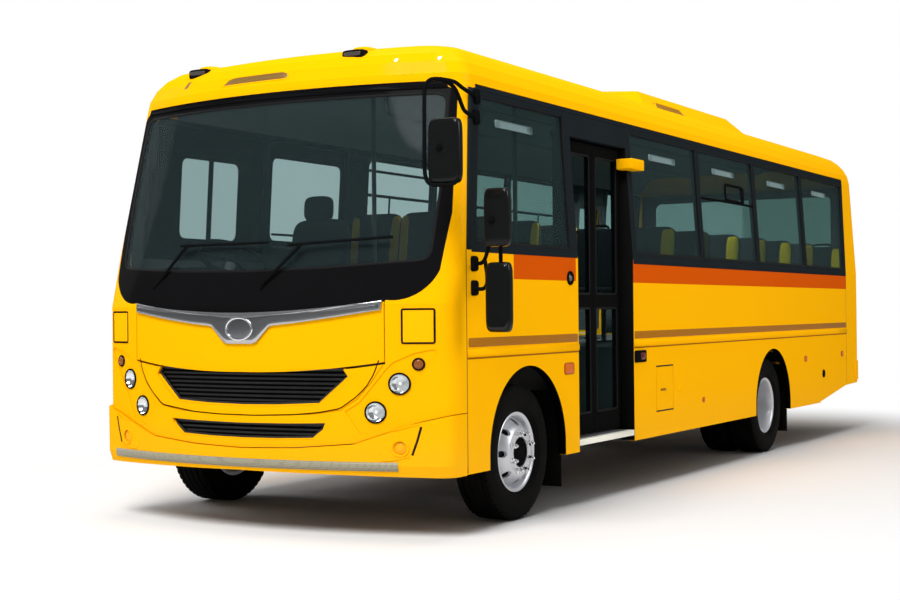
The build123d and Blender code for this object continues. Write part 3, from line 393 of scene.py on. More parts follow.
def nose_y(x: Array, z: Array, sections: Array = SECTIONS) -> Array:
    """Y of the nose at (x, z), for the body's or the bumper's sections.

    Formula: a circle of the plan radius about the centre line, joined to the side by a fillet
    circle of the corner radius whose centre lies that radius inside the side.
    """
    half, nose, corner = section_row(z, sections)
    center = nose + PLAN_RADIUS
    fillet_x = half - corner
    fillet_y = center - np.sqrt((PLAN_RADIUS - corner) ** 2 - fillet_x ** 2)
    touch_x = fillet_x * PLAN_RADIUS / (PLAN_RADIUS - corner)
    ax = np.abs(x)
    bow = center - np.sqrt(np.maximum(PLAN_RADIUS ** 2 - ax ** 2, 0.0))
    over = np.clip(ax - fillet_x, 0.0, corner * 0.999)
    bend = fillet_y - np.sqrt(np.maximum(corner ** 2 - over ** 2, 0.0))
    return SEAM_Y + np.where(ax <= touch_x, bow, bend)


def on_front(x: Array, z: Array, lift: Lift, sections: Array) -> Array:
    """Places on a front surface at (x, z), moved out along its normal by lift."""
    step = 0.002
    x, z = paired(x, z)
    dx = (nose_y(x + step, z, sections) - nose_y(x - step, z, sections)) / (2 * step)
    dz = (nose_y(x, z + step, sections) - nose_y(x, z - step, sections)) / (2 * step)
    normal = unit(np.stack([dx, -np.ones_like(dx), dz], -1))
    base = np.stack([x, nose_y(x, z, sections), z], -1)
    return base + normal * np.asarray(lift, float)[..., None]


def on_nose(x: Array, z: Array, lift: Lift) -> Array:
    """Places on the nose panel."""
    return on_front(x, z, lift, SECTIONS)


def on_bumper(x: Array, z: Array, lift: Lift) -> Array:
    """Places on the front bumper."""
    return on_front(x, z, lift, BUMPER_SECTIONS)


def on_side(side: int) -> Mapping:
    """Function that puts (station, z, lift) on one side wall."""
    def mapped(station: Array, z: Array, lift: Lift) -> Array:
        """Places on the wall: x = side * (half width at z + lift)."""
        station, z = paired(station, z)
        half = section_row(z, SECTIONS)[0]
        return np.stack([side * (half + lift), SEAM_Y + station, z], -1)
    return mapped


TAIL_Y = SEAM_Y + 8.175


def on_tail(x: Array, z: Array, lift: Lift) -> Array:
    """Places on the tail: a shallow bow of 14 m plan radius, leaning in a little above the waist."""
    x, z = paired(x, z)
    lean = np.interp(z, [0.2, 1.27, 1.565, 2.475], [0.0, 0.0, 0.005, 0.015])
    y = TAIL_Y - lean - (14.0 - np.sqrt(14.0 ** 2 - x ** 2)) + lift
    return np.stack([x, y, z], -1)


Mapping = Callable[[Array, Array, Lift], Array]


def rounded(a0: float, a1: float, b0: float, b1: float, radius: float, steps: int = 6) -> Array:
    """Outline of a rounded rectangle in surface coordinates, counter-clockwise."""
    corners = [(a1 - radius, b0 + radius, -90), (a1 - radius, b1 - radius, 0), (a0 + radius, b1 - radius, 90),
        (a0 + radius, b0 + radius, 180)]
    angle = np.radians(np.linspace(0, 90, steps))
    parts = [np.stack([a + radius * np.cos(angle + math.radians(t)), b + radius
        * np.sin(angle + math.radians(t))], -1) for a, b, t in corners]
    return np.concatenate(parts)


def densified(outline: Array, step: float) -> Array:
    """Closed outline cut into pieces no longer than step."""
    ring = np.vstack([outline, outline[:1]])
    along = lengths_along(ring)
    extra = np.arange(0, along[-1], step)
    places = np.unique(np.round(np.concatenate([along[:-1], extra]), 5))
    places = places[np.concatenate([[True], np.diff(places) > step * 0.05])]
    return sampled(ring, along, places)


def shrunk(outline: Array, share: Array) -> Array:
    """Rings of an outline, each drawn towards its middle by one share."""
    middle = (outline.max(0) + outline.min(0)) / 2
    return middle + (outline - middle) * share[:, None, None]


def plate(name: str, outline: Array, mapping: Mapping, thick: float, crown: float = 0.0, step: float = 0.08,
        sunk: float = 0.003, edge: float = 0.0015, rings: int = 6) -> Piece:
    """Thin closed plate lying on a surface.

    Formula: rings shrink from the outline to its middle; their lift is the thickness plus a crown
    that falls off with the square of the ring's share, and the outermost rings turn down into the
    surface.

    Args:
        name: The object's name.
        outline: (n, 2) outline in surface coordinates.
        mapping: Function from surface coordinates and lift to places.
        thick: Height of the plate's edge over the surface.
        crown: Extra height in the middle.
        step: Longest edge along the outline.
        sunk: Depth of the skirt below the surface.
        edge: Width of the rounded edge.
        rings: How many rings run from the edge to the middle.

    Returns:
        The plate's object.
    """
    line = densified(outline, step)
    middle = (line.max(0) + line.min(0)) / 2
    reach = np.abs(line - middle).max()
    share = np.concatenate([[1.0, 1.0, 1.0 - edge / reach * 0.35, 1.0 - edge / reach],
        np.linspace(1.0 - edge / reach, 0.0, rings + 1)[1:-1], [0.0]])
    lifts = np.concatenate([[-sunk, thick - edge, thick - edge * 0.3, thick], np.full(len(share) - 4, thick)])
    lifts = lifts + crown * np.where(np.arange(len(share)) < 3, 0.0, 1 - share ** 2)
    flat = shrunk(line, share)
    return skin(name, mapping(flat[..., 0], flat[..., 1], lifts[:, None]), wrap_columns=True)


def merged(obj: Piece, distance: float = 1e-6) -> Piece:
    """Join doubled points and turn the faces outwards."""
    mesh = bmesh.new()
    mesh.from_mesh(obj.data)
    bmesh.ops.remove_doubles(mesh, verts=mesh.verts, dist=distance)
    bmesh.ops.recalc_face_normals(mesh, faces=mesh.faces)
    mesh.to_mesh(obj.data)
    mesh.free()
    return obj


def followed(line: Array, tangent: Array, section: Array, mapping: Mapping, lift: float) -> Array:
    """Grid of a section carried along a line on a surface, square to its tangent."""
    flat = line[:, None] + section[None, :, :1] * turned(tangent)[:, None]
    return mapping(flat[..., 0], flat[..., 1], lift + section[None, :, 1])


def bead(name: str, outline: Array, mapping: Mapping, width: float, height: float, lift: float = 0.0,
        step: float = 0.06, power: float = 3.0) -> Piece:
    """Closed seal or frame of squarish section that follows an outline on a surface.

    Formula: point = outline + a * inward, lift + b, with (a, b) on a squircle of the given width
    and height and inward the outline's normal in surface coordinates.
    """
    line = densified(outline, step)
    tangent = unit(np.roll(line, -1, 0) - np.roll(line, 1, 0))
    section = squircle(width / 2, height / 2, power, 12)
    return skin(name, followed(line, tangent, section, mapping, lift), wrap_rows=True, wrap_columns=True)


def skin(name: str, points: Array, **options: bool) -> Piece:
    """Surface with its doubled points joined and its faces turned outwards."""
    return merged(surface(name, points, **options))


def joined(name: str, objects: Sequence[Piece]) -> Piece:
    """Join several objects of one finish into one piece."""
    mesh = bmesh.new()
    for obj in objects:
        mesh.from_mesh(obj.data)
    data = bpy.data.meshes.new(name)
    mesh.to_mesh(data)
    mesh.free()
    for obj in objects:
        bpy.data.objects.remove(obj, do_unlink=True)
    data.polygons.foreach_set("use_smooth", np.ones(len(data.polygons), bool))
    result = bpy.data.objects.new(name, data)
    bpy.context.scene.collection.objects.link(result)
    return result


def pillow(name: str, half: Floats, move: Callable[[Array], Array], square: float = 0.3, crown: float = 0.0,
        channels: int = 0, depth: float = 0.004, count: int = 40) -> Piece:
    """Crowned closed cushion.

    Formula: a superellipsoid (x, y, z) = half * (c(v) c(u), c(v) s(u), s(v)) with c and s raised
    to the square share, lifted by crown * (1 - x2)(1 - y2) on top, with sewn channels as a cosine
    dip across x.
    """
    u, v = np.meshgrid(np.linspace(-math.pi, math.pi, count * 2, endpoint=False),
        np.linspace(-math.pi / 2, math.pi / 2, count), indexing="ij")

    def power(value: Array) -> Array:
        """Signed power of a sine or cosine."""
        return np.sign(value) * np.abs(value) ** square
    x, y, z = power(np.cos(v)) * power(np.cos(u)), power(np.cos(v)) * power(np.sin(u)), power(np.sin(v))
    lift = crown * (1 - x ** 2) * (1 - y ** 2)
    dip = depth * np.maximum(np.cos(channels * math.pi * x), 0.0) ** 10 if channels else 0.0
    local = np.stack([x * half[0], y * half[1], z * half[2] + np.sign(z) * (lift - dip) * np.abs(z)], -1)
    return merged(surface(name, move(local), wrap_rows=True), 1e-5)


# ---------------------------------------------------------------- finishes
@dataclass(frozen=True)
class Finish:
    """A surface finish; subclasses build its material."""

    name: str

    def build(self) -> Material:
        """Make the material.

        Returns:
            The finished material.
        """
        kit = Nodes(self.name)
        self.dress(kit)
        return kit.material

    def dress(self, kit: Nodes) -> None:
        """Set up the shader; each finish has its own."""
        raise NotImplementedError


@dataclass(frozen=True)
class CoachPaint(Finish):
    """Glossy coach enamel with a clear coat, faint orange peel and settled dust low down."""

    color: Color = (0.97, 0.455, 0.001)
    coat: float = 0.03

    def dress(self, kit: Nodes) -> None:
        """Colour drifts a little over metres; the peel is a fine noise bump."""
        _, _, z = kit.split()
        drift = kit.noise(0.9, 2.0)
        dark = tuple(c * 0.955 for c in self.color)
        base = kit.mix(drift, self.color, dark)
        low = kit.math("SUBTRACT", 0.62, z)
        dust = kit.math("MULTIPLY", kit.math("MAXIMUM", low, 0.0), kit.noise(7.0, 4.0))
        base = kit.mix(kit.math("MULTIPLY", dust, 0.3), base, (0.42, 0.3, 0.12))
        kit.paint(base)
        kit.value(Roughness=0.38, Specular_IOR_Level=0.0, Coat_Weight=self.coat, Coat_Roughness=0.08)
        kit.bump(kit.noise(420.0, 2.0), 0.05, 0.0006)


@dataclass(frozen=True)
class StripedPaint(CoachPaint):
    """Side-wall enamel with the orange waist stripe between two heights and two stations."""

    stripe: Color = (0.62, 0.086, 0.002)
    low: float = 1.408
    high: float = 1.568
    start: float = 0.56
    pause: Pair = (1.398, 2.3)
    end: float = 7.662

    def dress(self, kit: Nodes) -> None:
        """The stripe is a product of comparisons on Object coordinates, paused at the doorway."""
        super().dress(kit)
        x, y, z = kit.split()
        inside = kit.math("MULTIPLY", kit.math("GREATER_THAN", z, self.low),
            kit.math("LESS_THAN", z, self.high))
        inside = kit.math("MULTIPLY", inside, kit.math("GREATER_THAN", y, at(self.start)))
        inside = kit.math("MULTIPLY", inside, kit.math("LESS_THAN", y, at(self.end)))
        door = kit.math("MULTIPLY", kit.math("GREATER_THAN", y, at(self.pause[0])),
            kit.math("LESS_THAN", y, at(self.pause[1])))
        door = kit.math("MULTIPLY", door, kit.math("GREATER_THAN", x, 0.0))
        inside = kit.math("MULTIPLY", inside, kit.math("SUBTRACT", 1.0, door))
        old = kit.shader.inputs["Base Color"].links[0].from_socket
        kit.paint(kit.mix(inside, old, self.stripe))


@dataclass(frozen=True)
class Moulded(Finish):
    """Moulded plastic, vinyl or painted steel: a colour with fine grain."""

    color: Color = (0.02, 0.02, 0.021)
    roughness: float = 0.45
    grain: float = 260.0
    depth: float = 0.25
    metallic: float = 0.0
    coat: float = 0.0
    wear: float = 0.25
    specular: float = 0.25

    def dress(self, kit: Nodes) -> None:
        """Grain is a noise bump; colour and roughness drift with a broader noise."""
        drift = kit.noise(3.1, 4.0)
        light = tuple(min(1.0, c * (1 + self.wear) + 0.004 * self.wear) for c in self.color)
        kit.paint(kit.mix(drift, self.color, light))
        rough = kit.math("ADD", kit.math("MULTIPLY", kit.noise(11.0, 3.0), 0.12), self.roughness - 0.06)
        kit.link(rough, kit.shader, "Roughness")
        kit.value(Metallic=self.metallic, Specular_IOR_Level=self.specular, Coat_Weight=self.coat,
            Coat_Roughness=0.08)
        kit.bump(kit.noise(self.grain, 3.0), self.depth, 0.001)


@dataclass(frozen=True)
class Glass(Finish):
    """Tinted pane: clear to look through, with a mirror-like face."""

    tint: Color = (0.46, 0.57, 0.55)
    far: Color = (0.655, 0.76, 0.755)
    face_gloss: float = 0.003
    edge_gloss: float = 0.06
    veil: Color = (0.14, 0.22, 0.235)
    veil_share: float = 0.075

    def dress(self, kit: Nodes) -> None:
        """Tinted transparent shader mixed with a glossy one by the fifth power of facing."""
        glossy = kit.add("ShaderNodeBsdfGlossy", Roughness=0.02, Color=(0.9, 0.95, 0.95, 1))
        through = kit.add("ShaderNodeBsdfTransparent")
        smear = kit.ramp(kit.noise(1.3, 3.0), [(0.0, self.tint), (1.0, tuple(c * 1.06 for c in self.tint))])
        x, _, _ = kit.split()
        kit.link(kit.mix(kit.math("LESS_THAN", x, 0.0), smear, self.far), through, "Color")
        veil = kit.add("ShaderNodeBsdfDiffuse", Color=(*self.veil, 1.0))
        clear = kit.blend(self.veil_share, through.outputs[0], veil.outputs[0])
        facing = kit.add("ShaderNodeLayerWeight", Blend=0.5)
        rise = kit.math("POWER", facing.outputs["Facing"], 5.0)
        share = kit.math("ADD", kit.math("MULTIPLY", rise, self.edge_gloss), self.face_gloss)
        kit.link(kit.blend(share, clear, glossy.outputs[0]), kit.output, "Surface")


@dataclass(frozen=True)
class Rubber(Finish):
    """Tyre rubber: near black, dry, a little dusty."""

    color: Color = (0.003, 0.0028, 0.0026)

    def dress(self, kit: Nodes) -> None:
        """Dust follows a noise; the bump is a fine grain."""
        dust = kit.ramp(kit.noise(9.0, 5.0), [(0.35, self.color), (0.8, (0.006, 0.0055, 0.005))])
        kit.paint(dust)
        kit.value(Roughness=0.75, Specular_IOR_Level=0.04)
        kit.bump(kit.noise(300.0, 2.0), 0.3, 0.001)


@dataclass(frozen=True)
class Metal(Finish):
    """Bright or brushed metal."""

    color: Color = (0.72, 0.73, 0.75)
    roughness: float = 0.22
    brushing: float = 0.15

    def dress(self, kit: Nodes) -> None:
        """Roughness drifts with a noise; brushing is a fine bump."""
        kit.value(Metallic=1.0)
        drift = kit.noise(6.0, 3.0)
        dark = tuple(c * 0.86 for c in self.color)
        kit.paint(kit.mix(drift, self.color, dark))
        rough = kit.math("ADD", kit.math("MULTIPLY", kit.noise(30.0, 3.0), 0.1), self.roughness - 0.05)
        kit.link(rough, kit.shader, "Roughness")
        kit.bump(kit.noise(500.0, 2.0), self.brushing, 0.0005)


@dataclass(frozen=True)
class Cloth(Finish):
    """Woven seat cloth: crossed threads in bump and colour, with sheen."""

    color: Color = (0.014, 0.015, 0.018)
    thread: Color = (0.03, 0.032, 0.037)
    pitch: float = 380.0

    def dress(self, kit: Nodes) -> None:
        """Two crossed wave textures make the weave."""
        waves = []
        for direction in ("X", "Z"):
            wave = kit.add("ShaderNodeTexWave", wave_type="BANDS", bands_direction=direction,
                Scale=self.pitch, Distortion=0.6)
            kit.link(kit.point(), wave, "Vector")
            waves.append(wave.outputs["Fac"])
        weave = kit.math("MULTIPLY", waves[0], waves[1])
        kit.paint(kit.mix(weave, self.color, self.thread))
        kit.value(Roughness=0.86, Specular_IOR_Level=0.1, Sheen_Weight=0.06)
        kit.bump(weave, 0.35, 0.001)


@dataclass(frozen=True)
class HexTape(Finish):
    """Reflective tape: small pale cells between darker lines."""

    cell: Color = (0.5, 0.5, 0.5)
    line: Color = (0.3, 0.3, 0.3)
    scale: float = 95.0

    def dress(self, kit: Nodes) -> None:
        """Cells come from the distance to the edges of a nearly regular Voronoi pattern."""
        cells = kit.add("ShaderNodeTexVoronoi", feature="DISTANCE_TO_EDGE", Scale=self.scale, Randomness=0.25)
        kit.link(kit.point(), cells, "Vector")
        edge = kit.ramp(cells.outputs["Distance"], [(0.04, self.line), (0.12, self.cell)])
        kit.paint(edge)
        kit.value(Metallic=0.1, Roughness=0.42, Specular_IOR_Level=0.1)
        kit.bump(cells.outputs["Distance"], 0.2, 0.0006)


@dataclass(frozen=True)
class VentMesh(Finish):
    """Perforated dark gold mesh."""

    metal: Color = (0.3, 0.165, 0.012)
    hole: Color = (0.025, 0.016, 0.004)
    scale: float = 110.0

    def dress(self, kit: Nodes) -> None:
        """Holes are the near parts of a regular Voronoi pattern."""
        cells = kit.add("ShaderNodeTexVoronoi", feature="F1", Scale=self.scale, Randomness=0.0)
        kit.link(kit.point(), cells, "Vector")
        kit.paint(kit.ramp(cells.outputs["Distance"], [(0.3, self.hole), (0.42, self.metal)]))
        kit.value(Roughness=0.5)
        kit.bump(cells.outputs["Distance"], 0.5, 0.001)


FINISHES: dict[str, Finish] = dict(
    yellow=CoachPaint("coach_yellow"),
    striped=StripedPaint("striped_yellow"),
    black_gloss=Moulded("gloss_black", (0.0045, 0.0045, 0.005), 0.3, 90.0, 0.03, specular=0.0, coat=0.02),
    black_satin=Moulded("satin_black", (0.0045, 0.0047, 0.005), 0.42, specular=0.0),
    band_black=Moulded("band_black", (0.0105, 0.014, 0.0165), 0.3, 90.0, 0.03, specular=0.0, coat=0.02),
    door_black=Moulded("door_black", (0.0042, 0.0044, 0.0042), 0.45, specular=0.0),
    arch_black=Moulded("arch_black", (0.001, 0.001, 0.001), 0.9, specular=0.0),
    dark_glass=Moulded("dark_glass", (0.0016, 0.0022, 0.0018), 0.1, specular=0.0, coat=0.6),
    pod_mesh=VentMesh("pod_vent_mesh", (0.46, 0.235, 0.003), (0.34, 0.16, 0.002)),
    nose_amber=Moulded("nose_amber", (0.22, 0.06, 0.008), 0.22, 900.0, 0.1, coat=0.2),
    # darker copy of the bolster vinyl: painted shade on the aisle bolsters and on every other kerb wall row
    bolster_dim=Moulded("bolster_vinyl_painted_shade", (0.16, 0.11, 0.006), 0.6, 220.0, 0.3, specular=0.0),
    black_matt=Moulded("matt_black", (0.005, 0.005, 0.0055), 0.66, 160.0, 0.4, specular=0.0),
    screen_glass=Glass("windscreen_glass", (0.82, 0.85, 0.85), (0.82, 0.85, 0.85), face_gloss=0.0015,
        veil_share=0.048),
    side_glass=Glass("side_glass"),
    door_glass=Glass("door_glass", (0.6, 0.7, 0.69), face_gloss=0.0, edge_gloss=0.0, veil_share=0.01),
    chassis=Moulded("chassis_black", (0.022, 0.022, 0.023), 0.55, 60.0, 0.35),
    cast=Moulded("cast_grey", (0.06, 0.06, 0.062), 0.6, 90.0, 0.6, metallic=0.4),
    steel=Metal("spring_steel", (0.12, 0.12, 0.125), 0.45),
    bright=Metal("satin_chrome", (0.42, 0.43, 0.45), 0.26),
    alloy=Moulded("satin_alloy", (0.54, 0.55, 0.58), 0.36, 300.0, 0.1, metallic=0.6),
    step_metal=Moulded("step_aluminium", (0.86, 0.84, 0.72), 0.34, 300.0, 0.1, metallic=0.1),
    rubber=Rubber("tyre_rubber"),
    seal=Moulded("seal_rubber", (0.006, 0.006, 0.0065), 0.6, 200.0, 0.2, specular=0.08),
    cloth=Cloth("seat_cloth"),
    bolster=Moulded("bolster_vinyl", (0.56, 0.37, 0.002), 0.6, 220.0, 0.3, specular=0.0),
    trim_grey=Moulded("trim_grey", (0.1, 0.1, 0.105), 0.6, 180.0, 0.4),
    floor=Moulded("floor_vinyl", (0.09, 0.09, 0.095), 0.7, 120.0, 0.5),
    liner=Moulded("pale_liner", (0.16, 0.165, 0.17), 0.6, 90.0, 0.1, specular=0.1),
    liner_dark=Moulded("wall_liner", (0.05, 0.053, 0.056), 0.6, 90.0, 0.2, specular=0.1),
    chrome=Metal("chrome", (0.86, 0.87, 0.88), 0.1, 0.05),
    bar_bright=Metal("bar_bright", (0.5, 0.51, 0.52), 0.24, 0.05),
    bar_dark=Metal("bar_dark", (0.19, 0.195, 0.205), 0.34, 0.1),
    rail_grey=Metal("rail_steel", (0.16, 0.165, 0.17), 0.4),
    mirror_black=Moulded("mirror_gloss", (0.0042, 0.0046, 0.0046), 0.16, 70.0, 0.03, coat=0.06,
        specular=0.12),
    mirror_face=Metal("mirror_face", (0.8, 0.82, 0.84), 0.04, 0.0),
    clear_lens=Glass("clear_lens", (0.93, 0.95, 0.96), far=(0.93, 0.95, 0.96), veil_share=0.0),
    bulb=Moulded("bulb_white", (0.8, 0.8, 0.78), 0.12, 60.0, 0.02, coat=0.6),
    amber=Moulded("amber_lens", (0.56, 0.115, 0.004), 0.22, 900.0, 0.1, coat=0.12, specular=0.1),
    amber_rim=Moulded("amber_rim", (0.36, 0.075, 0.004), 0.3, 300.0, 0.05, coat=0.05, specular=0.1),
    fog_yellow=Moulded("fog_yellow", (0.8, 0.36, 0.004), 0.22, 700.0, 0.12, coat=0.12, specular=0.1),
    red_lens=Moulded("red_lens", (0.42, 0.008, 0.006), 0.2, 900.0, 0.1, coat=0.2, specular=0.2),
    dark_red=Moulded("dark_red_lens", (0.085, 0.008, 0.006), 0.2, 900.0, 0.1, coat=0.1, specular=0.2),
    smoke_lens=Moulded("smoke_lens", (0.05, 0.045, 0.04), 0.16, 600.0, 0.08, coat=0.3),
    pale_lens=Moulded("pale_lens", (0.72, 0.73, 0.72), 0.14, 900.0, 0.1, coat=0.8),
    grille_black=Moulded("grille_black", (0.0013, 0.0013, 0.0014), 0.6, specular=0.0),
    grille_mesh=VentMesh("grille_mesh", (0.006, 0.006, 0.0065), (0.0015, 0.0015, 0.0015)),
    plate_yellow=Moulded("plate_yellow", (0.97, 0.46, 0.002), 0.4, 300.0, 0.05, wear=0.02, specular=0.0),
    pale_film=Moulded("pale_film", (0.17, 0.24, 0.245), 0.4, 200.0, 0.05, specular=0.1),
    silver_tape=HexTape("silver_tape", (0.34, 0.32, 0.235), (0.26, 0.24, 0.17)),
    gold_tape=HexTape("gold_tape", (0.4, 0.15, 0.003), (0.3, 0.108, 0.002)),
    vent_mesh=VentMesh("vent_mesh", (0.2, 0.1, 0.004), (0.12, 0.055, 0.002)),
    shut_line=Moulded("shut_line", (0.03, 0.01, 0.001), 0.7, 200.0, 0.05, wear=0.1, specular=0.0),
    # dark brown line painted as the shadow under each side moulding; the tool lid's lock plate has the same
    # colour
    crease=Moulded("moulding_painted_shadow", (0.3, 0.105, 0.002), 0.6, 200.0, 0.05, wear=0.1, specular=0.05),
)


class Surfaces:
    """The bus's finishes, each built once and shared."""

    def __init__(self) -> None:
        """Build every material of the table, in its order."""
        for name, finish in FINISHES.items():
            setattr(self, name, finish.build())


def coat(obj: Piece, material: Material) -> Piece:
    """Give an object one material on all its faces, and return it."""
    obj.data.materials.clear()
    obj.data.materials.append(material)
    return obj


def place(obj: Piece, material: Material, body: str, slot: str) -> Piece:
    """Coat a new piece and let it ride on a body."""
    coat(obj, material)
    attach(obj, body)
    LOG.info("piece %s rides on %s", obj.name, body)
    return obj


def put(name: str, parts: Sequence[Piece], material: Material, slot: str, body: str = "root") -> Piece:
    """Join parts into one named piece and place it."""
    return place(joined(name, parts), material, body, slot)


# ---------------------------------------------------------------- sub-assemblies
class Side(Enum):
    """The two long sides of the bus and the sign of X on each."""

    KERB = 1
    ROAD = -1

    @property
    def word(self) -> str:
        """The side's word in piece names."""
        return "left" if self is Side.KERB else "right"


def strip(name: str, mapping: Mapping, a0: float, a1: float, b0: float, b1: float, thick: float,
        step: float = 0.25) -> Piece:
    """Long flat strip on a surface, its edges eased and turned down."""
    return plate(name, rounded(a0, a1, b0, b1, min(b1 - b0, a1 - a0) * 0.2, 3), mapping, thick, step=step,
        edge=min(0.0008, thick * 0.5), rings=2)


def inset_outline(outline: Array, gap: float) -> Array:
    """Outline drawn inwards by a gap, by moving each point along the mean of its two normals."""
    before = unit(outline - np.roll(outline, 1, 0))
    after = unit(np.roll(outline, -1, 0) - outline)
    inward = turned(before) + turned(after)
    scale = 2.0 / np.maximum((inward ** 2).sum(-1), 0.8)
    return outline + inward * (gap * scale)[:, None]


def arc(center: Floats, radius: float, steps: int = 32) -> Array:
    """Closed circle outline in surface coordinates."""
    return np.asarray(center, float) + circle(radius, steps)


def relief(name: str, outline: Array, mapping: Mapping, shares: Floats, lifts: Floats, ripple: float = 0.0,
        facets: int = 0, smooth: bool = True) -> Piece:
    """Bowl, dome or panel on a surface.

    Formula: ring k is the outline shrunk by shares[k] towards its middle and lifted by lifts[k]
    plus ripple * cos(facets * angle) * share.
    """
    share, lift = np.asarray(shares, float), np.asarray(lifts, float)
    flat = shrunk(outline, share)
    angle = np.arctan2(*(outline - (outline.max(0) + outline.min(0)) / 2).T[::-1])
    height = lift[:, None] + ripple * np.cos(facets * angle)[None, :] * share[:, None]
    points = mapping(flat[..., 0], flat[..., 1], height)
    return skin(name, points, wrap_columns=True, smooth=smooth)


def moved_rows(profile: Rows, base: float) -> Profile:
    """Profile of (axial, radius) rows moved by a base along its axis."""
    return [(base + axial, radius) for axial, radius in profile]


@dataclass
class RoadWheel:
    """One polished steel wheel with vents, nuts and hub, and its drum."""

    look: Surfaces
    side: Side
    axle: str
    station: float
    track_half: float
    dished: bool
    rim_radius: float = 0.2357
    seat: float = 0.0847
    vent_radius: float = 0.02
    vent_circle: float = 0.172
    nut_circle: float = 0.1135
    nuts: int = 8
    vents: int = 8

    @property
    def name(self) -> str:
        """Start of the wheel's piece names."""
        return f"rim_{self.axle}_{self.side.word}"

    @property
    def body(self) -> str:
        """The body that the wheel rides on, which is its CAD node's name too."""
        return f"wheel_{self.axle}_{self.side.word}"

    @property
    def axis(self) -> Place:
        """Outward axle direction."""
        return (float(self.side.value), 0.0, 0.0)

    def center(self, half: float) -> Place:
        """Axle point at a half track."""
        return (self.side.value * half, at(self.station), AXLE_Z)

    def around(self, radius: float, turn: float) -> Array:
        """Place on a circle about the axle point of the wheel's own half track."""
        return np.array(self.center(self.track_half)) + radius * np.array([0.0, math.cos(turn),
            math.sin(turn)])

    def profile(self) -> Profile:
        """Closed section (axial, radius) of rim and disc, dished inwards or outwards."""
        r, s = self.rim_radius, self.seat
        lip = [(s, r - 0.0125), (s + 0.004, r - 0.004), (s + 0.0085, r - 0.0006), (s + 0.0105, r - 0.004),
            (s + 0.0092, r - 0.012), (s + 0.0045, r - 0.021), (s - 0.002, r - 0.026)]
        back = [(-s - 0.004, r - 0.03), (-s - 0.009, r - 0.012), (-s - 0.0085, r - 0.002), (-s, r - 0.0125),
            (-s + 0.02, r - 0.018), (s - 0.02, r - 0.018)]
        if self.dished:
            disc = [(0.02, r - 0.0315), (-0.062, r - 0.034), (-0.074, r - 0.04), (-0.083, 0.186),
                (-0.098, 0.158), (-0.118, 0.143), (-0.13, 0.133), (-0.1325, 0.126), (-0.1325, 0.0885),
                (-0.1445, 0.0885), (-0.1445, 0.126), (-0.142, 0.14), (-0.112, 0.162), (-0.096, 0.19),
                (-0.085, r - 0.036)]
        else:
            disc = [(0.06, r - 0.0275), (0.046, r - 0.029), (0.0415, r - 0.0325), (0.044, 0.1985),
                (0.056, 0.1935), (0.086, 0.1785), (0.101, 0.166), (0.113, 0.153), (0.119, 0.144),
                (0.1215, 0.136), (0.122, 0.129), (0.122, 0.0885), (0.11, 0.0885), (0.1095, 0.131),
                (0.103, 0.145), (0.09, 0.159), (0.074, 0.171), (0.044, 0.1865), (0.033, 0.194),
                (0.02, r - 0.0345)]
        return lip + disc + back

    def build(self) -> None:
        """Build the wheel with its holes, nuts, hub and drum."""
        face = -0.1325 if self.dished else 0.122
        rim = lathe(self.name, self.profile(), self.center(self.track_half), self.axis, 96, closed=True)
        self.bore(rim)
        rim.data.set_sharp_from_angle(angle=math.radians(38))
        place(rim, self.look.alloy, self.body, "alloy")
        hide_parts(self.body)
        nuts = joined(self.name + "_nuts", self.make_nuts(face))
        nuts.data.set_sharp_from_angle(angle=math.radians(28))
        place(nuts, self.look.chrome, self.body, "bright_trim")
        hub = lathe(self.name + "_hub", self.hub_profile(face), self.center(self.track_half), self.axis, 64)
        hub.data.set_sharp_from_angle(angle=math.radians(30))
        place(hub, self.look.black_satin, self.body, "cast_grey")
        place(self.make_drum(face), self.look.cast, self.body, "cast_grey")
        place(self.make_valve(), self.look.chrome, self.body, "bright_trim")
        if self.dished:
            inner = lathe(self.name + "_inner_rim", self.inner_profile(), self.center(0.78), self.axis, 64,
                closed=True)
            place(inner, self.look.steel, self.body, "spring_steel")

    def bore(self, rim: Piece) -> None:
        """Cut the round vents through the disc: cylinders on the vent circle."""
        near, far = (-0.16, -0.05) if self.dished else (0.03, 0.125)
        profile = [(near, 0.0), (near, self.vent_radius), (far, self.vent_radius), (far, 0.0)]
        cutter = joined("vent_cutters", [lathe("cut", profile, self.around(self.vent_circle,
            number * 2 * math.pi / self.vents), self.axis, 24) for number in range(self.vents)])
        boolean = rim.modifiers.new("vents", "BOOLEAN")
        boolean.object = cutter
        boolean.operation = "DIFFERENCE"
        boolean.solver = "EXACT"
        applied(rim)
        bpy.data.objects.remove(cutter, do_unlink=True)

    def make_nuts(self, face: float) -> list[Piece]:
        """Hexagon nuts with washers and stud ends."""
        washer = [(-0.001, 0.0), (-0.001, 0.0185), (0.003, 0.018), (0.004, 0.012), (0.004, 0.0)]
        nut = [(0.003, 0.0), (0.003, 0.016), (0.024, 0.016), (0.027, 0.0135), (0.027, 0.0085)]
        stud = [(0.026, 0.009), (0.036, 0.009), (0.038, 0.007), (0.038, 0.0)]
        return [lathe("nut", moved_rows(rows, face), self.around(self.nut_circle,
            (number + 0.5) * 2 * math.pi / self.nuts), self.axis, sides) for number in range(self.nuts)
            for rows, sides in ((washer, 20), (nut, 6), (stud, 12))]

    def hub_profile(self, face: float) -> Profile:
        """Hub section from the disc's bore outwards to its cap."""
        if self.dished:
            return moved_rows([(-0.02, 0.0), (-0.02, 0.086), (0.004, 0.086), (0.008, 0.082), (0.014, 0.072),
                (0.106, 0.062), (0.11, 0.058), (0.11, 0.05), (0.116, 0.047), (0.118, 0.04), (0.118, 0.0)],
                face)
        return moved_rows([(-0.06, 0.0), (-0.06, 0.0875), (-0.01, 0.0875), (-0.004, 0.084), (-0.006, 0.076),
            (0.002, 0.066), (0.01, 0.06), (0.011, 0.052), (0.004, 0.049), (0.008, 0.04), (0.014, 0.03),
            (0.014, 0.0)], face)

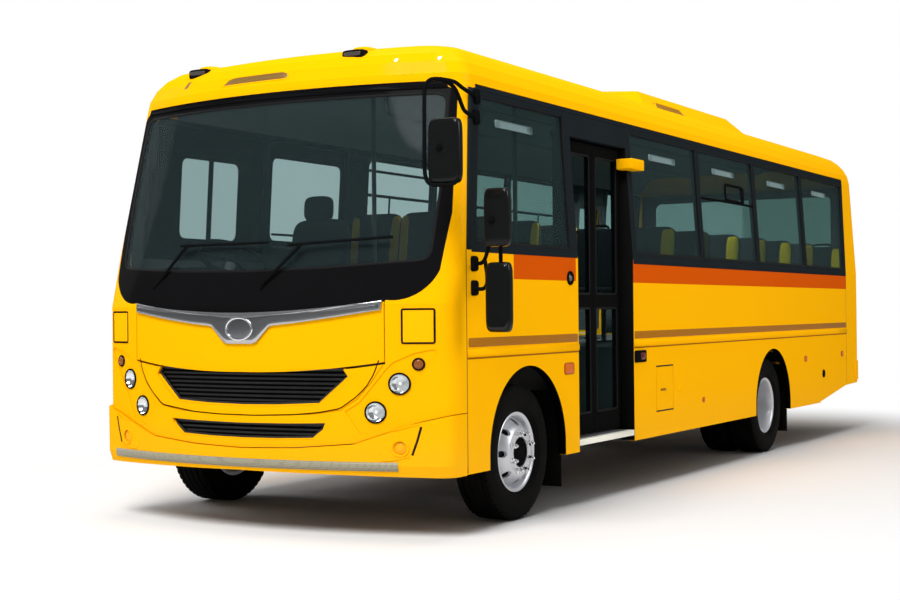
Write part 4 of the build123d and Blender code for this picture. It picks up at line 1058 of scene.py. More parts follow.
    def make_drum(self, face: float) -> Piece:
        """Brake drum behind the disc."""
        flat, bend, deep = (0.014, 0.022, 0.09) if self.dished else (0.05, 0.085, 0.15)
        profile = [(-flat, 0.086), (-flat, 0.128), (-bend, 0.16), (-deep, 0.163), (-deep, 0.148),
            (-bend - 0.008, 0.146), (-bend - 0.008, 0.086)]
        return lathe(self.name + "_drum", moved_rows(profile, face), self.center(self.track_half), self.axis,
            64, True)

    def make_valve(self) -> Piece:
        """Valve stem standing in the rim well."""
        profile = moved_rows([(0.03, 0.0), (0.03, 0.005), (0.078, 0.005), (0.08, 0.004), (0.092, 0.004),
            (0.094, 0.0)], -0.085 if self.dished else 0.0)
        return lathe(self.name + "_valve", profile, self.around(0.198, 2.2), self.axis, 12)

    def inner_profile(self) -> Profile:
        """Section of the inner twin's rim and disc."""
        r, s = self.rim_radius, self.seat
        return [(s, r - 0.0125), (s + 0.009, r - 0.001), (s + 0.009, r - 0.012), (s, r - 0.026),
            (0.11, r - 0.034), (0.118, 0.17), (0.1315, 0.12), (0.1315, 0.0885), (0.122, 0.0885),
            (0.122, 0.12), (0.108, 0.168), (-s - 0.004, r - 0.03), (-s - 0.009, r - 0.002), (-s, r - 0.0125),
            (-s + 0.02, r - 0.018), (s - 0.02, r - 0.018)]


def applied(obj: Piece) -> Piece:
    """Apply all of an object's modifiers to its mesh."""
    graph = bpy.context.evaluated_depsgraph_get()
    mesh = bpy.data.meshes.new_from_object(obj.evaluated_get(graph))
    obj.modifiers.clear()
    old = obj.data
    obj.data = mesh
    bpy.data.meshes.remove(old)
    return obj


@dataclass
class Tyres:
    """The six tyres: one on each front wheel, two on each rear wheel."""

    look: Surfaces
    radius: float = AXLE_Z
    half: float = 0.1175
    bore: float = 0.2245
    lugs: int = 56

    def section(self) -> tuple[Array, Array]:
        """Axial share and radius along one tyre's outside, bead to bead."""
        side_a = np.array([0.7, 0.74, 0.84, 0.93, 0.955, 0.965, 0.985, 1.0, 0.998, 0.985, 0.975, 0.965])
        side_r = np.array([0.225, 0.239, 0.244, 0.264, 0.27, 0.2675, 0.29, 0.318, 0.325, 0.343, 0.34, 0.362])
        shoulder_a = np.array([0.93, 0.885, 0.86])
        shoulder_r = np.array([0.378, 0.387, 0.3895])
        tread_a = np.linspace(0.84, -0.84, 57)
        tread_r = self.radius - 0.004 * np.abs(tread_a) ** 2.2
        grooves = sum(np.exp(-((tread_a - g) / 0.028) ** 6) for g in (-0.52, -0.18, 0.18, 0.52))
        tread_r = tread_r - 0.011 * np.minimum(grooves, 1.0)
        a = np.concatenate([side_a, shoulder_a, tread_a, -shoulder_a[::-1], -side_a[::-1]])
        r = np.concatenate([side_r, shoulder_r, tread_r, shoulder_r[::-1], side_r[::-1]])
        return a * self.half, r

    def tyre(self, name: str, x: float, station: float) -> Piece:
        """One tyre.

        Formula: point = centre + axial + radius * (cos, sin), the axial place of the tread waved
        by a triangle wave of the lugs, and the shoulders cut by cross grooves.
        """
        axial, radius = self.section()
        per = 5
        angle = np.linspace(0, 2 * math.pi, self.lugs * per, endpoint=False)
        phase = (np.arange(len(angle)) % per) / per
        tread = np.abs(axial) < 0.105
        wave = (np.abs(phase - 0.4) - 0.2) * 0.01
        a = axial[None, :] + np.where(tread & (np.abs(axial) < 0.075), 1.0, 0.0)[None, :] * wave[:, None]
        notch = np.where(phase < 0.19, 1.0, 0.0)[:, None]
        outer = ((np.abs(axial) > 0.068) & (radius > 0.377)).astype(float)[None, :]
        r = radius[None, :] - 0.008 * notch * outer
        a = np.concatenate([a, np.broadcast_to(np.array([-0.6, 0.6]) * self.half, (len(angle), 2))], 1)
        r = np.concatenate([r, np.full((len(angle), 2), self.bore)], 1)
        c, s = np.cos(angle)[:, None], np.sin(angle)[:, None]
        points = np.stack([x + a, at(station) + r * c, AXLE_Z + r * s], -1)
        tire = skin(name, points, wrap_rows=True, wrap_columns=True)
        tire.data.set_sharp_from_angle(angle=math.radians(50))
        return tire

    def build(self) -> None:
        """Build and place the tyres."""
        for side in Side:
            front = self.tyre(f"tread_front_{side.word}", side.value * 1.04, FRONT_AXLE)
            place(front, self.look.rubber, f"wheel_front_{side.word}", "tyre_rubber")
            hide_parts(f"tyre_front_{side.word}")
            for word, half in (("outer", 1.045), ("inner", 0.78)):
                rear = self.tyre(f"tread_rear_{side.word}_{word}", side.value * half, REAR_AXLE)
                place(rear, self.look.rubber, f"wheel_rear_{side.word}", "tyre_rubber")
                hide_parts(f"tyres_rear_{side.word}")


@dataclass
class Mirrors:
    """Mirror heads with domed shells, glass and clamp knobs, their arms and the arms' feet."""

    look: Surfaces
    # x0, x1, station, z0, z1
    heads: tuple[tuple[float, float, float, float, float], ...] = ((1.173, 1.364, -0.3, 1.894, 2.24),
        (1.35, 1.5, -0.02, 1.57, 1.885), (1.356, 1.505, -0.02, 1.112, 1.488),
        (-1.44, -1.29, 0.43, 1.57, 1.885), (-1.44, -1.29, 0.43, 1.19, 1.488))
    half_depth: float = 0.025
    arm_radius: float = 0.011
    # side, station, z
    feet: tuple[tuple[int, float, float], ...] = ((1, 0.083, 1.486), (1, 0.083, 1.353), (-1, 0.515, 1.486),
        (-1, 0.515, 1.353), (1, 0.225, 2.423), (1, 0.205, 2.306))
    # chains of (x, station, z) and how far their corners are eased
    arms: tuple[tuple[tuple[Place, ...], int], ...] = ((((1.165, 0.225, 2.423), (1.24, -0.05, 2.428),
        (1.291, -0.24, 2.44), (1.185, -0.318, 2.457), (1.16, -0.324, 2.421), (1.157, -0.324, 1.95),
        (1.17, -0.324, 1.89), (1.35, -0.324, 1.884), (1.364, -0.324, 1.915)), 5),
        (((1.165, 0.205, 2.306), (1.243, -0.05, 2.306), (1.27, -0.19, 2.42), (1.24, -0.29, 2.449)), 6),
        (((1.218, 0.088, 1.486), (1.3, 0.05, 1.482), (1.318, 0.036, 1.5), (1.336, 0.036, 1.56),
        (1.395, 0.032, 1.69), (1.425, 0.016, 1.74)), 4), (((1.425, 0.016, 1.86), (1.425, 0.016, 1.48)), 0),
        (((1.218, 0.078, 1.353), (1.3, 0.05, 1.34), (1.332, 0.036, 1.352), (1.334, 0.036, 1.4),
        (1.318, 0.036, 1.5)), 4), (((-1.218, 0.52, 1.486), (-1.345, 0.476, 1.486), (-1.365, 0.468, 1.52),
        (-1.365, 0.468, 1.86)), 4), (((-1.218, 0.51, 1.353), (-1.34, 0.474, 1.345), (-1.362, 0.468, 1.372),
        (-1.365, 0.468, 1.48)), 4))

    def shell(self, name: str, row: Floats) -> Piece:
        """Shell of one head.

        Formula: a squircle outline shrunk by a share that falls from the rim to the crown of the
        shell while the depth runs forwards as a quarter ellipse, with a flat lip behind.
        """
        depth = np.array([0.025, 0.025, 0.025, 0.021, 0.008, -0.006, -0.015, -0.0205, -0.0235, -0.025,
            -0.025])
        share = np.array([0.0, 0.945, 0.985, 1.0, 1.0, 0.995, 0.975, 0.93, 0.84, 0.6, 0.0])
        return self.dome(name, row, squircle((row[1] - row[0]) / 2, (row[4] - row[3]) / 2, 7.0, 64), share,
            depth)

    def dome(self, name: str, row: Floats, outline: Array, share: Array, depth: Array,
            flip: bool = False) -> Piece:
        """Rings of a head's outline, each shrunk by a share and set back by a depth."""
        x0, x1, station, z0, z1 = row
        grid = outline[None] * share[:, None, None]
        points = xyz((x0 + x1) / 2 + grid[..., 0], at(station) + depth[:, None], (z0 + z1) / 2 + grid[..., 1])
        return skin(name, points, wrap_columns=True, flip=flip)

    def glass(self, name: str, row: Floats, way: float = 1.0) -> Piece:
        """Mirror glass let into the lip, slightly convex; way -1 turns it to the front."""
        outline = squircle((row[1] - row[0]) / 2 - 0.01, (row[4] - row[3]) / 2 - 0.01, 8.0, 48)
        share = np.array([1.0, 1.0, 0.9, 0.6, 0.3, 0.0])
        depth = np.array([0.0235, 0.0254, 0.0256, 0.0262, 0.0265, 0.0266])
        return self.dome(name, row, outline, share, way * depth, way < 0)

    def knob(self, row: Floats, where: float) -> Piece:
        """Clamp knob on the front of a shell: a stepped boss."""
        x0, x1, station, z0, z1 = row
        middle = ((x0 + x1) / 2 - 0.02, at(station) - self.half_depth, z0 + (z1 - z0) * where)
        profile = [(-0.004, 0.0), (-0.004, 0.021), (0.006, 0.02), (0.009, 0.013), (0.02, 0.012),
            (0.023, 0.009), (0.024, 0.0)]
        return lathe("knob", profile, middle, (0.0, -1.0, 0.0), 28)

    def build(self) -> None:
        """Build all heads."""
        shells = joined("mirror_shells", [self.shell("shell", row) for row in self.heads])
        place(shells, self.look.mirror_black, "root", "mirror_black")
        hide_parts("mirror_heads")
        put("mirror_glasses", [self.glass("glass", row) for row in self.heads], self.look.mirror_face,
            "bright_trim")
        fronts = [self.glass("front", self.heads[k], -1.0) for k in (2, 4)]
        put("kerb_mirror_glasses", fronts, self.look.dark_glass, "mirror_black")
        knobs = [self.knob(self.heads[k], where) for k, where in ((0, 0.55), (1, 0.45), (3, 0.45))]
        put("mirror_knobs", knobs, self.look.black_satin, "mirror_black")
        feet = [self.foot(*row) for row in self.feet]
        put("mirror_feet", feet, self.look.black_satin, "mirror_black")
        arms = [tube("arm", [(x, at(station), z) for x, station, z in chain], self.arm_radius, 12,
            smooth_path=passes) for chain, passes in self.arms]
        arms = put("mirror_tubes", arms, self.look.black_satin, "mirror_black")
        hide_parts("mirror_arms")

    def foot(self, side: int, station: float, z: float) -> Piece:
        """Bracket foot of a mirror arm on the wall: a crowned pad."""
        outline = rounded(station - 0.03, station + 0.03, z - 0.042, z + 0.042, 0.014)
        return plate("foot", outline, on_side(side), 0.016, crown=0.01, step=0.02, edge=0.006)


@dataclass
class NoseLamps:
    """Round lamps let into the nose, and the lamp clusters of the tail."""

    look: Surfaces
    # x, z, radius of each nose lamp of the +X side
    upper: Place = (0.95, 0.84, 0.056)
    lower: Place = (0.82, 0.686, 0.056)
    turn: Place = (1.05, 0.945, 0.03)
    fog: Place = (0.96, 0.497, 0.034)
    tail_x: float = 1.03
    tail_z: Place = (0.78, 0.92, 1.06)
    tail_half: float = 0.06

    def build(self) -> None:
        """Build the lamps of both sides."""
        bowls, rings, lenses, ambers, fogs, bulbs = [], [], [], [], [], []
        for side in (-1, 1):
            for x, z, r in (self.upper, self.lower):
                ring = arc((side * x, z), r, 48)
                cup = arc((side * x, z), r - 0.0045, 20)
                bowls.append(relief("bowl", cup, on_nose, (1.0, 0.97, 0.8, 0.58, 0.34, 0.2, 0.0),
                    (-0.002, -0.006, -0.018, -0.027, -0.034, -0.037, -0.037), 0.0022, 10, smooth=False))
                rings.append(bead("ring", ring, on_nose, 0.009, 0.012, -0.003, step=0.01, power=2.6))
                lenses.append(relief("lens", arc((side * x, z), r - 0.005, 40), on_nose,
                    (1.0, 0.95, 0.8, 0.5, 0.25, 0.0), (-0.004, 0.0005, 0.0035, 0.007, 0.0085, 0.009)))
                bulbs.append(relief("bulb", arc((side * x, z), 0.011, 20), on_nose,
                    (1.0, 1.0, 0.85, 0.5, 0.0), (-0.037, -0.02, -0.013, -0.01, -0.009)))
            x, z, r = self.turn
            rings.append(bead("ring", arc((side * x, z), r, 40), on_nose, 0.01, 0.012, -0.004, step=0.008,
                power=2.6))
            ambers.append(relief("turn", arc((side * x, z), r - 0.003, 36), on_nose,
                (1.0, 0.94, 0.7, 0.4, 0.0), (-0.006, 0.001, 0.005, 0.007, 0.008)))
            x, z, r = self.fog
            fogs.append(relief("fog", arc((side * x, z), r - 0.001, 36), on_bumper,
                (1.0, 0.94, 0.86, 0.8, 0.7, 0.4, 0.0), (-0.012, -0.006, -0.006, -0.009, -0.006, -0.003,
                -0.002)))
        bowls = put("lamp_bowls", bowls, self.look.chrome, "bright_trim")
        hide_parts("lamps")
        put("lamp_rings", rings, self.look.black_satin, "grille_black")
        put("lamp_lenses", lenses, self.look.clear_lens, "lamp_lens")
        put("lamp_bulbs", bulbs, self.look.bulb, "lamp_lens")
        put("turn_lamps", ambers, self.look.nose_amber, "lamp_lens")
        put("fog_lamps", fogs, self.look.fog_yellow, "lamp_lens")
        self.build_tail()

    def build_tail(self) -> None:
        """Square tail lamps: amber, red and clear lens over each other in a dark housing."""
        finish = {self.tail_z[2]: self.look.amber, self.tail_z[1]: self.look.red_lens,
            self.tail_z[0]: self.look.pale_lens}
        for number, z in enumerate(self.tail_z):
            lenses, frames = [], []
            for side in (-1, 1):
                x = side * self.tail_x
                h = self.tail_half
                outline = rounded(x - h + 0.008, x + h - 0.008, z - h + 0.008, z + h - 0.008, 0.012)
                lenses.append(plate("lens", outline, on_tail, 0.0, crown=0.0035, step=0.03, sunk=0.026,
                    edge=0.004))
                frame = rounded(x - h, x + h, z - h, z + h, 0.014)
                frames.append(bead("frame", inset_outline(frame, 0.005), on_tail, 0.011, 0.016, -0.006,
                    step=0.03))
            put(f"tail_lens_{number}", lenses, finish[z], "lamp_lens")
            put(f"tail_frame_{number}", frames, self.look.black_satin, "grille_black")


def ribbon(name: str, path: Rows, mapping: Mapping, width: float, height: float, lift: float = 0.0,
        step: float = 0.03) -> Piece:
    """Open bead of round-edged section that follows a path on a surface, closed at its ends."""
    line = np.asarray(path, float)
    along = lengths_along(line)
    fine = sampled(line, along, np.linspace(0, along[-1], max(int(along[-1] / step), 3)))
    tangent = unit(np.gradient(fine, axis=0))
    section = squircle(width / 2, height / 2, 3.0, 10)
    return skin(name, followed(fine, tangent, section, mapping, lift), wrap_columns=True, cap=True)


def ring_panel(name: str, outer: Array, hole: Array, mapping: Mapping, low: float, high: float) -> Piece:
    """Flat panel between four corners and a rounded opening, its faces at two lifts."""
    corners = np.repeat(np.roll(outer, -1, 0), len(hole) // 4, axis=0)
    rows = np.stack([corners, hole, hole, corners])
    points = mapping(rows[..., 0], rows[..., 1], np.array([high, high, low, low])[:, None])
    return skin(name, points, wrap_rows=True, wrap_columns=True, smooth=False)


@dataclass
class NoseTrim:
    """Trim of the nose: bright bar, bare oval, grilles, sign plates, tape, seals and brow vent."""

    look: Surfaces
    bar_half: float = 0.862
    bar_wide: float = 0.205
    plate_x: Pair = (0.96, 1.14)
    plate_z: Pair = (1.052, 1.246)
    tape_z: Pair = (0.372, 0.42)
    tape_x: Pair = (-1.085, 0.948)
    upper_grille: Pairs = ((0, 0.888), (0.33, 0.895), (0.64, 0.905), (0.67, 0.88), (0.497, 0.724),
        (0.25, 0.712), (0, 0.708))
    lower_grille: Pairs = ((0, 0.616), (0.3, 0.619), (0.537, 0.625), (0.52, 0.585), (0.455, 0.535),
        (0.23, 0.528), (0, 0.526))

    def build(self) -> None:
        """Build every piece of the nose's trim."""
        self.build_bar()
        self.build_grilles()
        self.build_plates()
        self.build_tape()
        self.build_seals()
        self.build_brow_vent()

    def bar_head(self, x: Array) -> Array:
        """Height of the bar's head: a power of the distance from the middle."""
        return 1.23 + (1.288 - 1.23) * (np.abs(x) / self.bar_half) ** 1.9

    def bar_arch(self, x: Array) -> Array:
        """Rise of the bar's foot outside its wide middle."""
        return (1.238 - 1.157) * np.clip((x - self.bar_wide) / 0.651, 0, 1) ** 1.25

    def bar_outline(self) -> Array:
        """Outline of the bar: bowed head and foot meeting at the tips, with a wide middle."""
        x = np.linspace(-self.bar_half, self.bar_half, 61)
        head = np.stack([x, self.bar_head(x)], -1)
        foot_x = x[::-1] * 0.856 / self.bar_half
        ax = np.abs(x[::-1]) * 0.856 / self.bar_half
        low = np.interp(ax, [0, 0.104, self.bar_wide], [1.056, 1.056, 1.157])
        foot = np.stack([foot_x, np.where(ax < self.bar_wide, low, 1.157 + self.bar_arch(ax))], -1)
        return np.concatenate([foot[::-1], head[::-1]])

    def build_bar(self) -> None:
        """Two-tone bar: a bright rounded rim and a darker sunk face, with a bare oval boss."""
        outline = densified(self.bar_outline(), 0.02)
        body = plate("bar_body", outline, on_nose, 0.0135, step=0.02, sunk=-0.001, edge=0.004, rings=3)
        place(body, self.look.bar_bright, "front_flap", "bright_trim")
        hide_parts("trim_bar")
        x = np.linspace(-0.845, 0.845, 61)
        ax = np.abs(x)
        head = self.bar_head(x) - 0.017
        low = np.where(ax < self.bar_wide, np.interp(ax, [0, 0.098, self.bar_wide], [1.064, 1.064, 1.166]),
            1.165 + self.bar_arch(ax))
        low = np.minimum(low, head - 0.003)
        rows = np.linspace(0, 1, 8)[:, None]
        lifts = np.array([0.0125] + [0.0142] * 6 + [0.0125])[:, None]
        face = surface("bar_face", on_nose(x, low[None] + (head - low)[None] * rows, lifts), flip=True)
        solid = face.modifiers.new("thickness", "SOLIDIFY")
        solid.thickness = 0.002
        solid.offset = -1.0
        applied(face)
        place(face, self.look.bar_dark, "front_flap", "bright_trim")
        oval = np.array([0.0, 1.14]) + circle(1.0, 64) * np.array([0.09, 0.061])
        rim = bead("oval_rim", oval, on_nose, 0.012, 0.01, 0.0155, step=0.01)
        boss = relief("oval_boss", oval, on_nose, (1.0, 0.97, 0.8, 0.5, 0.2, 0.0),
            (0.01, 0.015, 0.0166, 0.0182, 0.019, 0.0192))
        place(rim, self.look.chrome, "front_flap", "bright_trim")
        place(boss, self.look.bar_dark, "front_flap", "bright_trim")

    def both(self, half: Rows) -> Array:
        """Whole outline from its +X half, counter-clockwise."""
        right = np.asarray(half, float)
        left = right[1:-1][::-1] * np.array([-1.0, 1.0])
        return np.concatenate([right, left])[::-1]

    def build_grilles(self) -> None:
        """Sloping body-coloured lips at the openings' sides and foot, dark mesh and slats inside."""
        lips, slats, backs, rims = [], [], [], []
        for half, top, slope in ((self.upper_grille, 0.876, 0.011), (self.lower_grille, 0.614, 0.008)):
            grown = [(x + (0.012 if z > top else 0.0), z + 0.018 if z > 0.886 else z) for x, z in half]
            outline = densified(self.both(grown), 0.03)
            inner = inset_outline(outline, slope)
            high = outline[:, 1] > top - 0.01
            inner = np.where(high[:, None], np.stack([inner[:, 0], outline[:, 1]], -1), inner)
            rows = [outline, outline * 0.5 + inner * 0.5, inner, inner, outline]
            lifts = [0.0012, -0.008, -0.021, -0.036, -0.036]
            points = np.stack([on_nose(row[:, 0], row[:, 1], np.full(len(row), lift))
                for row, lift in zip(rows, lifts)])
            lips.append(skin("lip", points, wrap_rows=True, wrap_columns=True))
            backs.append(relief("back", outline, on_nose, (1.0, 0.9, 0.6, 0.3, 0.0), (-0.03,) * 5))
            rims.append(bead("rim", inner, on_nose, 0.02, 0.01, -0.0225, step=0.03))
            low = outline[:, 1].min() + 0.022
            for z in np.arange(low, outline[:, 1].max() - 0.014, 0.024):
                reach = self.width_at(outline, z) - slope
                slats.append(ribbon("slat", [(-reach, z), (reach, z)], on_nose, 0.012, 0.01, -0.026, 0.06))
        put("grille_lips", lips, self.look.yellow, "body_yellow")
        back = put("grille_mesh", backs, self.look.grille_mesh, "grille_black")
        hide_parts("grilles")
        put("grille_rims", rims, self.look.grille_mesh, "grille_black")
        put("grille_slats", slats, self.look.grille_black, "grille_black")

    def width_at(self, outline: Array, z: float) -> float:
        """Half width of a symmetric outline at a height."""
        below = outline[:, 1] - z
        crossing = below * np.roll(below, -1) < 0
        a, b = outline[crossing], np.roll(outline, -1, 0)[crossing]
        share = (z - a[:, 1]) / (b[:, 1] - a[:, 1])
        return float(np.abs(a[:, 0] + (b[:, 0] - a[:, 0]) * share).min())

    def build_plates(self) -> None:
        """Bare sign plates, yellow with a black border."""
        plates, borders = [], []
        for side in (-1, 1):
            x0, x1 = sorted((side * self.plate_x[0], side * self.plate_x[1]))
            outline = rounded(x0, x1, *self.plate_z, 0.014)
            plates.append(plate("sign", outline, on_nose, 0.0022, step=0.03, edge=0.001, rings=4))
            borders.append(bead("border", inset_outline(outline, 0.006), on_nose, 0.0105, 0.0018, 0.0026,
                step=0.02))
        put("sign_plates", plates, self.look.plate_yellow, "body_yellow")
        put("sign_borders", borders, self.look.black_satin, "band_black")

    def build_tape(self) -> None:
        """Silver reflective tape across the bumper, and the bumper's slits, lamp cups and creases."""
        x = np.linspace(*self.tape_x, 121)
        rows = np.array([self.tape_z[0], self.tape_z[0] + 0.0006, np.mean(self.tape_z),
            self.tape_z[1] - 0.0006, self.tape_z[1]])
        lifts = np.array([-0.002, 0.0045, 0.0055, 0.0045, -0.002])
        grid = np.broadcast_arrays(x[None, :], rows[:, None], lifts[:, None])
        back = [part[::-1] for part in np.broadcast_arrays(x[None, :], rows[:, None],
            np.full((5, 1), -0.003))]
        points = np.concatenate([on_bumper(*grid), on_bumper(*back)])
        place(skin("bumper_tape", points, wrap_rows=True), self.look.silver_tape, "root", "bright_trim")
        slits, cups = [], []
        for side in (-1, 1):
            slits.append(ribbon("slit", [(side * 1.072, 0.612), (side * 1.052, 0.54), (side * 1.024, 0.46)],
                on_bumper, 0.012, 0.003, 0.0))
            cups.append(bead("cup", arc((side * 0.96, 0.497), 0.043, 40), on_bumper, 0.012, 0.01, 0.001,
                step=0.01))
            crease = [(side * 0.845, 0.47), (side * 0.865, 0.425), (side * 0.93, 0.436), (side * 1.01, 0.452)]
            cups.append(ribbon("crease", crease, on_bumper, 0.01, 0.008, 0.0))
            cups.append(ribbon("crease", [(side * 0.93, 0.59), (side * 1.0, 0.612), (side * 1.06, 0.625)],
                on_bumper, 0.01, 0.008, 0.0))
        put("bumper_slits", slits, self.look.black_matt, "grille_black")
        put("bumper_creases", cups, self.look.yellow, "body_yellow")

    def build_seals(self) -> None:
        """Windscreen seal, shut line under the flap and dark head of the surround."""
        half = [(0.0, 1.46), (0.5, 1.47), (1.02, 1.5), (1.058, 1.508), (1.08, 1.53), (1.089, 1.56),
            (1.1, 1.98), (1.078, 2.386), (1.066, 2.418), (1.02, 2.436), (0.0, 2.436)]
        outline = densified(self.both(half)[::-1], 0.04)
        seal = bead("screen_seal", inset_outline(outline, 0.002), on_nose, 0.016, 0.008, -0.003, step=0.05)
        place(seal, self.look.seal, "root", "band_black")
        bow = [(0.841, 0.966), (0.813, 0.89), (0.771, 0.823), (0.716, 0.769), (0.624, 0.705), (0.5, 0.682),
            (0.349, 0.668), (0.09, 0.659), (-0.157, 0.66), (-0.35, 0.668), (-0.624, 0.7), (-0.716, 0.769),
            (-0.771, 0.823), (-0.813, 0.89), (-0.841, 0.966)]
        place(ribbon("nose_shut_line", bow, on_nose, 0.0065, 0.0035, 0.0), self.look.shut_line, "root",
            "grille_black")
        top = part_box("windscreen_surround")[1][2]
        left, right = np.array([(-1.075, top - 0.012), (-1.06, top + 0.022)]), np.array([(1.06, top + 0.03),
            (1.075, top - 0.012)])
        head = plate("screen_head", densified(np.concatenate([left, right])[::-1], 0.03), on_nose, 0.0065,
            step=0.03, rings=3)
        place(head, self.look.black_gloss, "root", "band_black")

    def build_brow_vent(self) -> None:
        """Mesh vent let into the forehead: a dark gold plate of slanting outline with small slots."""
        outline = np.array([(-0.385, 2.57), (0.06, 2.573), (0.092, 2.577), (0.104, 2.59), (0.092, 2.608),
            (0.06, 2.62), (-0.3, 2.616), (-0.345, 2.606)])
        frame = bead("brow_vent_frame", densified(outline, 0.03), on_nose, 0.007, 0.006, 0.0, step=0.02)
        place(frame, self.look.yellow, "root", "body_yellow")
        mesh = joined("brow_vent", [plate("vent", outline, on_nose, 0.0012, step=0.03, rings=4),
            plate("slot", np.array([(-0.745, 2.59), (-0.712, 2.596), (-0.69, 2.636), (-0.716, 2.634)]),
            on_nose, 0.0012, step=0.03, rings=3)])
        place(mesh, self.look.vent_mesh, "root", "grille_black")
        spots = [relief("spot", arc((x, 2.638), 0.012, 20), on_nose, (1.0, 0.8, 0.0), (-0.001, 0.0015, 0.002))
            for x in (0.76, 1.0)]
        put("brow_spots", spots, self.look.pale_lens, "lamp_lens")


FIRST_BAY = (0.11, 1.34, 0.262, 1.34)   # its front post leans back


def upright_bays(*spans: Pair) -> Quads:
    """Window bays whose posts stand upright, from their front and rear stations."""
    return tuple(span * 2 for span in spans)


